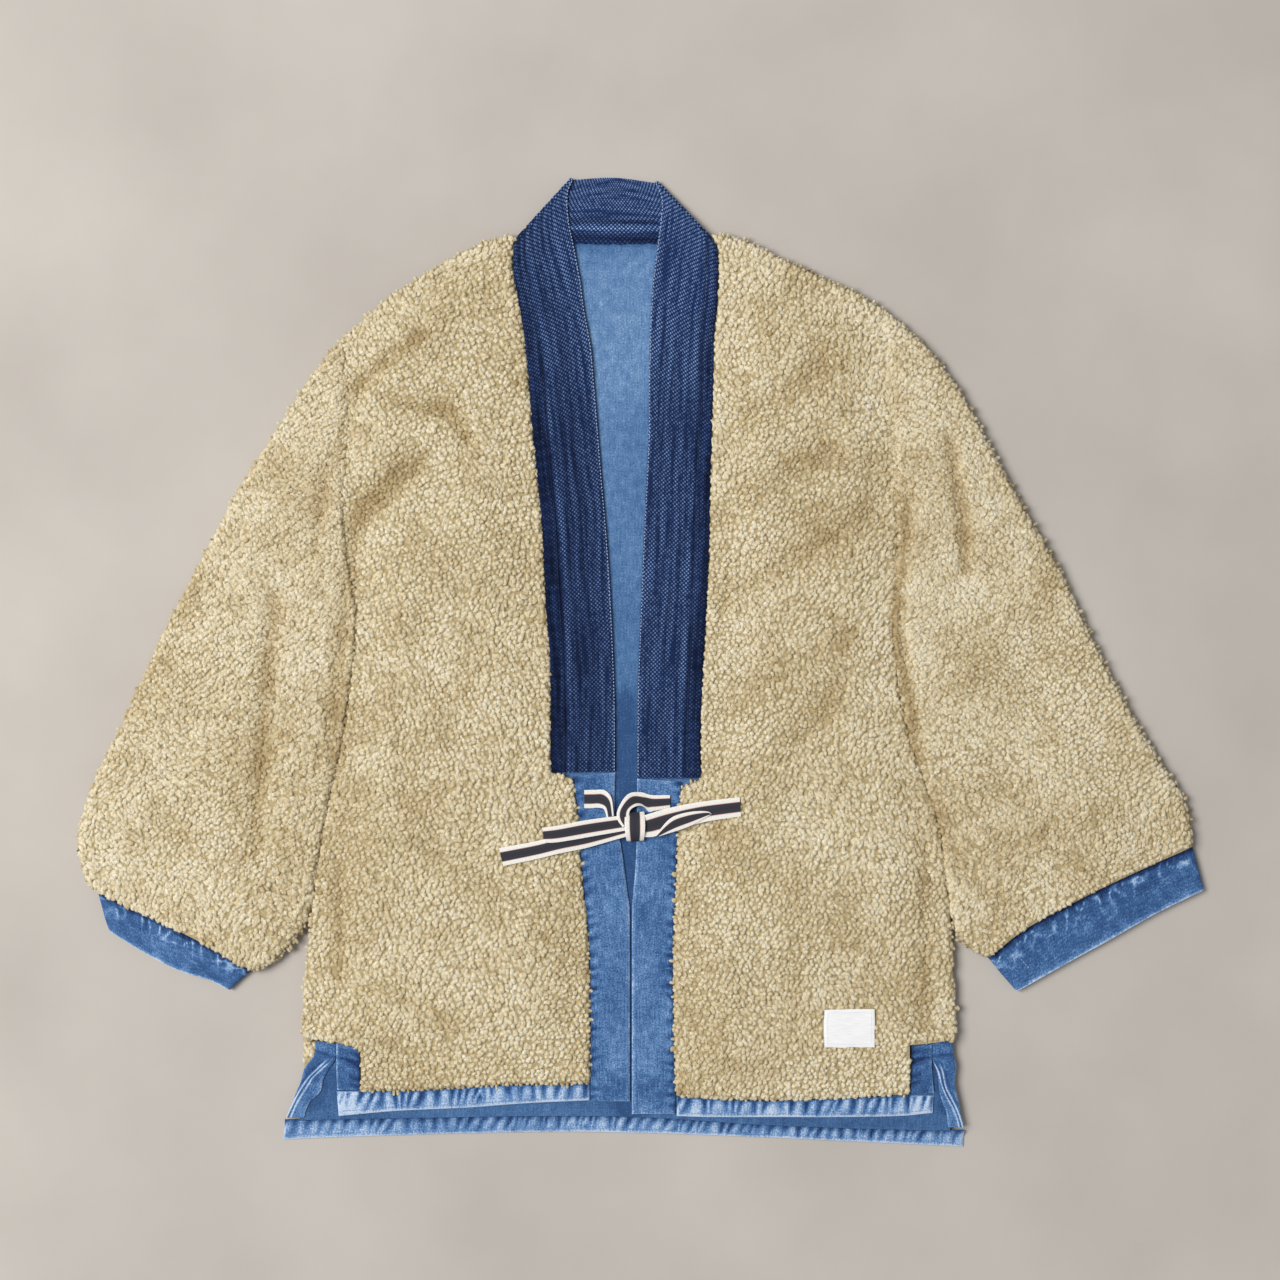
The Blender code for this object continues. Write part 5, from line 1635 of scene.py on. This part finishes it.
@dataclass
class Body:
    """Back, lining and fronts."""

    # The share of the armhole seam, from the shoulder, that curls close over; below it lies in a fold.
    covered: float = 0.6

    def build(self) -> None:
        """Makes the back first and then the fronts over it."""
        BackPanel().build()
        FrontPanel("front_right", SHOULDER_R, HEM_SEAM_R, downward(BODY_ARMHOLE_R, BODY_SIDE_R),
                   downward([*COLLAR_SEAM_R, (-87, -109)], BAND_SEAM_R), VENT_CUT_R, seed=11).build()
        FrontPanel("front_left", SHOULDER_L, HEM_SEAM_L, downward([*COLLAR_SEAM_L, (55, -113.5)], BAND_SEAM_L),
                   downward(BODY_ARMHOLE_L, BODY_SIDE_L), VENT_CUT_L, seed=12).build()
        for name, seam, seed, count, share, spill, low in (
                ("armhole_right_curls", ARMHOLE_R, 15, 150, self.covered, 2.2, 11.6),
                ("armhole_left_curls", ARMHOLE_L, 16, 150, self.covered, 2.2, 11.6),
                ("vent_right_curls", VENT_LEDGE_R, 17, 20, 0.97, 0.6, 12.5)):
            self.cover_seam(name, seam, seed, count, share, spill, low)

    def cover_seam(self, name: str, seam: Points, seed: int, count: int, share: float, spill: float,
                   low: float) -> None:
        """Lets the curls close over a seam.

        Args:
            name: The piece's name.
            seam: The seam's points.
            seed: The seed of the curls.
            count: How many curls there are.
            share: The share of the seam that they cover.
            spill: How far they spread to its sides, in millimetres.
            low: The lowest root's height.
        """
        rng = np.random.default_rng(seed)
        place = along(seam)(rng.uniform(0.03, share, count))
        root = np.column_stack([place + rng.normal(0, spill, (count, 2)), rng.uniform(low, low + 0.8, count)])
        curls = Pile(seed, sunk=1.4).curls(name, root, np.tile((0.0, 0.0, 1.0), (count, 1)), rng)
        settle(curls, FLEECE_CLOTH)


@dataclass
class DenimTrim:
    """Front edge bands, hem bands and vent facings."""

    inside: float = 0.6

    def build(self) -> None:
        """Makes every band."""
        gap, inner_r, inner_l = self.inside, -50 - self.inside, 32 + self.inside
        for name, seam, free, seed, dx in (
                ("edge_band_right", [*BAND_SEAM_R, (-50, -419)], BAND_FREE_R, 41, gap),
                ("edge_band_left", [*BAND_SEAM_L, (32, -431)], BAND_FREE_L, 42, -gap)):
            DenimBand(name, along(shifted(seam, dx)), along(free), seed, fade=7.0, base_wear=0.44,
                      free_wear=0.25).build()
        for name, seam, free, seed, bare, low, high in (
                ("hem_band_right", FRONT_HEM_SEAM_R, FRONT_HEM_EDGE_R, 43, (-269, 1e3), -1e3, inner_r),
                ("hem_band_left", FRONT_HEM_SEAM_L, FRONT_HEM_EDGE_L, 44, (-1e3, 255), inner_l, 1e3)):
            upper, lower = ([(min(max(x, low), high), y) for x, y in row] for row in (seam, free))
            DenimBand(name, along(shifted(upper, 0, -gap)), along(lower), seed, columns=14, base_wear=0.68,
                      contrast=1.2, fade=19.0, seam_shade=0.4, warp_across=True, bare_beyond=bare).build()
        DenimBand("hem_band_back", along(shifted(BACK_HEM_SEAM, 0, -1.0)), along(BACK_HEM_EDGE), seed=45,
                  floor=0.0, drop=3.6, columns=12, rests_on=(), base_wear=0.62, contrast=1.0, fade=19.0,
                  seam_shade=0.6, warp_across=True).build()
        for name, rows in (("vent_front_right", VENT_FRONT_R), ("vent_front_left", VENT_FRONT_L)):
            start = along([(row[0] + self.inside, row[1]) for row in rows])
            end = along([(row[2] - self.inside, row[3]) for row in rows])
            if rows[0][0] < 0:
                start, end = end, start
            DenimBand(name, start, end, seed=53, rope=0.3, columns=8, cross_seam=12.0, base_wear=0.32,
                      stitched=0.0).build()
        for name, routes in VENT_FLAPS.items():
            BackVent(name, *routes).build()


@dataclass
class BackVent:
    """The back's vent facing: an outer flap, a stitched double fold and an inner flap."""

    name: str
    outer: Points
    fold: Points
    inner: Points
    high: float = FRONT_FLOOR + 2.0
    wall: float = 1.6
    rows: int = 60
    row_step: float = 1.3

    def build(self) -> None:
        """Makes the facing."""
        t = np.linspace(0, 1, self.rows)
        a, b, c = along(self.outer)(t), along(self.fold)(t), along(self.inner)(t)
        near, far = np.linspace(0, 0.86, 9), np.linspace(0.14, 1, 8)
        place = np.concatenate([between(a, b, near), b[:, None], between(b, c, far)], axis=1)
        # The fold stands up as two stitched ridges with a furrow between them.
        width = np.linalg.norm(c - a, axis=1)[:, None]
        across = travelled_across(place)
        offset = across - across[:, len(near):len(near) + 1]
        ridges = bell((offset - 1.7) / 0.9) + bell((offset + 1.7) / 0.9)
        furrow = bell(offset / 0.9) + 0.8 * bell((offset + 4.2) / 1.2)
        below = rise(np.arange(self.rows)[:, None] * self.row_step - 14, 8)
        edge = np.minimum(across, across[:, -1:] - across)
        z = self.high + 0.5 * ridges * below - 0.4 * furrow * below - 0.9 * (1 - roll(edge, 1.5)) - 0.5 * (offset > 3)
        down = np.broadcast_to(steps(b).cumsum()[np.r_[0, 0:self.rows - 1]][:, None], z.shape)
        # The facing's own cross seam, 14 mm down, and a painted shade at its top.
        seam = bell((down - 14) / 1.1) + 0.6 * bell(down / 1.2)
        z = z - 0.4 * seam
        swing = Drift(61, 9)(place)
        # Rubbed ridges, painted shade in the furrows, darker along the cross seam, painted shade at the top, paler
        # lower down and at the edges.
        wear_and_shade = (0.37 + 0.1 * swing + (0.6 * ridges - 0.3 * furrow) * below - 0.3 * seam
                + 0.12 * rise(down - 30, 40) + 0.25 * np.exp(-edge / 1.2) * below)
        uv = np.dstack([across, down + 0 * width]) * MM
        table = np.dstack([place, z])
        made = laid_sheet(self.name + "_denim", table, self.wall, uv, {"wear_and_shade": np.clip(wear_and_shade, 0, 1)})
        settle(made, MID_DENIM, (self.name,))


@dataclass
class Studio:
    """Floor, soft light from above and the camera, straight over the jacket as in the photograph."""

    camera_height: float = 2.0
    # Height of the cloth's upper side, where the frame's width is measured.
    cloth_height: float = 0.012
    frame_width: float = 1.216
    centre: tuple[float, float] = (-0.0019, 0.02145)
    sensor: float = 36.0
    floor_size: float = 8.0
    floor_height: float = -0.0002
    lamp_place: tuple[float, float, float] = (-3.4, 0.8, 5.0)
    lamp_size: float = 3.2
    lamp_watts: float = 345.0
    lamp_tint: tuple[float, float, float] = (1.0, 0.985, 0.96)
    sky_strength: float = 0.33

    def build(self) -> None:
        """Makes the floor, the lights and the camera."""
        bpy.ops.object.select_all(action="DESELECT")
        bpy.ops.mesh.primitive_plane_add(size=self.floor_size, location=(0, 0, self.floor_height))
        floor = bpy.context.object
        floor.name = "floor"
        alone(floor)
        bpy.ops.object.transform_apply(location=True, rotation=True, scale=True)
        floor.data.materials.append(FloorPaint().material())
        light = bpy.data.lights.new("window", "AREA")
        light.size, light.energy, light.color = self.lamp_size, self.lamp_watts, self.lamp_tint
        lamp = bpy.data.objects.new("window", light)
        lamp.location = self.lamp_place
        lamp.rotation_euler = (-lamp.location).to_track_quat("-Z", "Y").to_euler()
        bpy.context.scene.collection.objects.link(lamp)
        bpy.context.scene.view_settings.view_transform = "Standard"
        world = bpy.data.worlds.new("studio")
        bpy.context.scene.world = world
        world.use_nodes = True
        sky = world.node_tree.nodes["Background"]
        sky.inputs["Color"].default_value = linear("#F4F4F6")
        sky.inputs["Strength"].default_value = self.sky_strength
        lens = bpy.data.cameras.new("over_the_jacket")
        lens.sensor_width = self.sensor
        lens.lens = self.sensor * self.camera_height / self.frame_width
        camera = bpy.data.objects.new("over_the_jacket", lens)
        camera.location = (*self.centre, self.camera_height + self.cloth_height)
        bpy.context.scene.collection.objects.link(camera)
        bpy.context.scene.camera = camera


def main() -> None:
    """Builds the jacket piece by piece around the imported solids."""
    logging.basicConfig(level=logging.INFO, format="%(message)s")
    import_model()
    Studio().build()
    Body().build()
    Sleeve("right", -CURVE_GAP / 2, SLEEVE_TOP_R, SLEEVE_UNDER_R, ARMHOLE_R, CUFF_SEAM_R, CUFF_OUTER_R,
           CUFF_INNER_R, CUFF_OPEN_R, seed=13).build()
    Sleeve("left", CURVE_GAP / 2, SLEEVE_TOP_L, SLEEVE_UNDER_L, ARMHOLE_L, CUFF_SEAM_L, CUFF_OUTER_L,
           CUFF_INNER_L, CUFF_OPEN_L, seed=14).build()
    DenimTrim().build()
    CollarBand().build()
    Tie().build()
    Label().build()


if __name__ == "__main__":
    main()
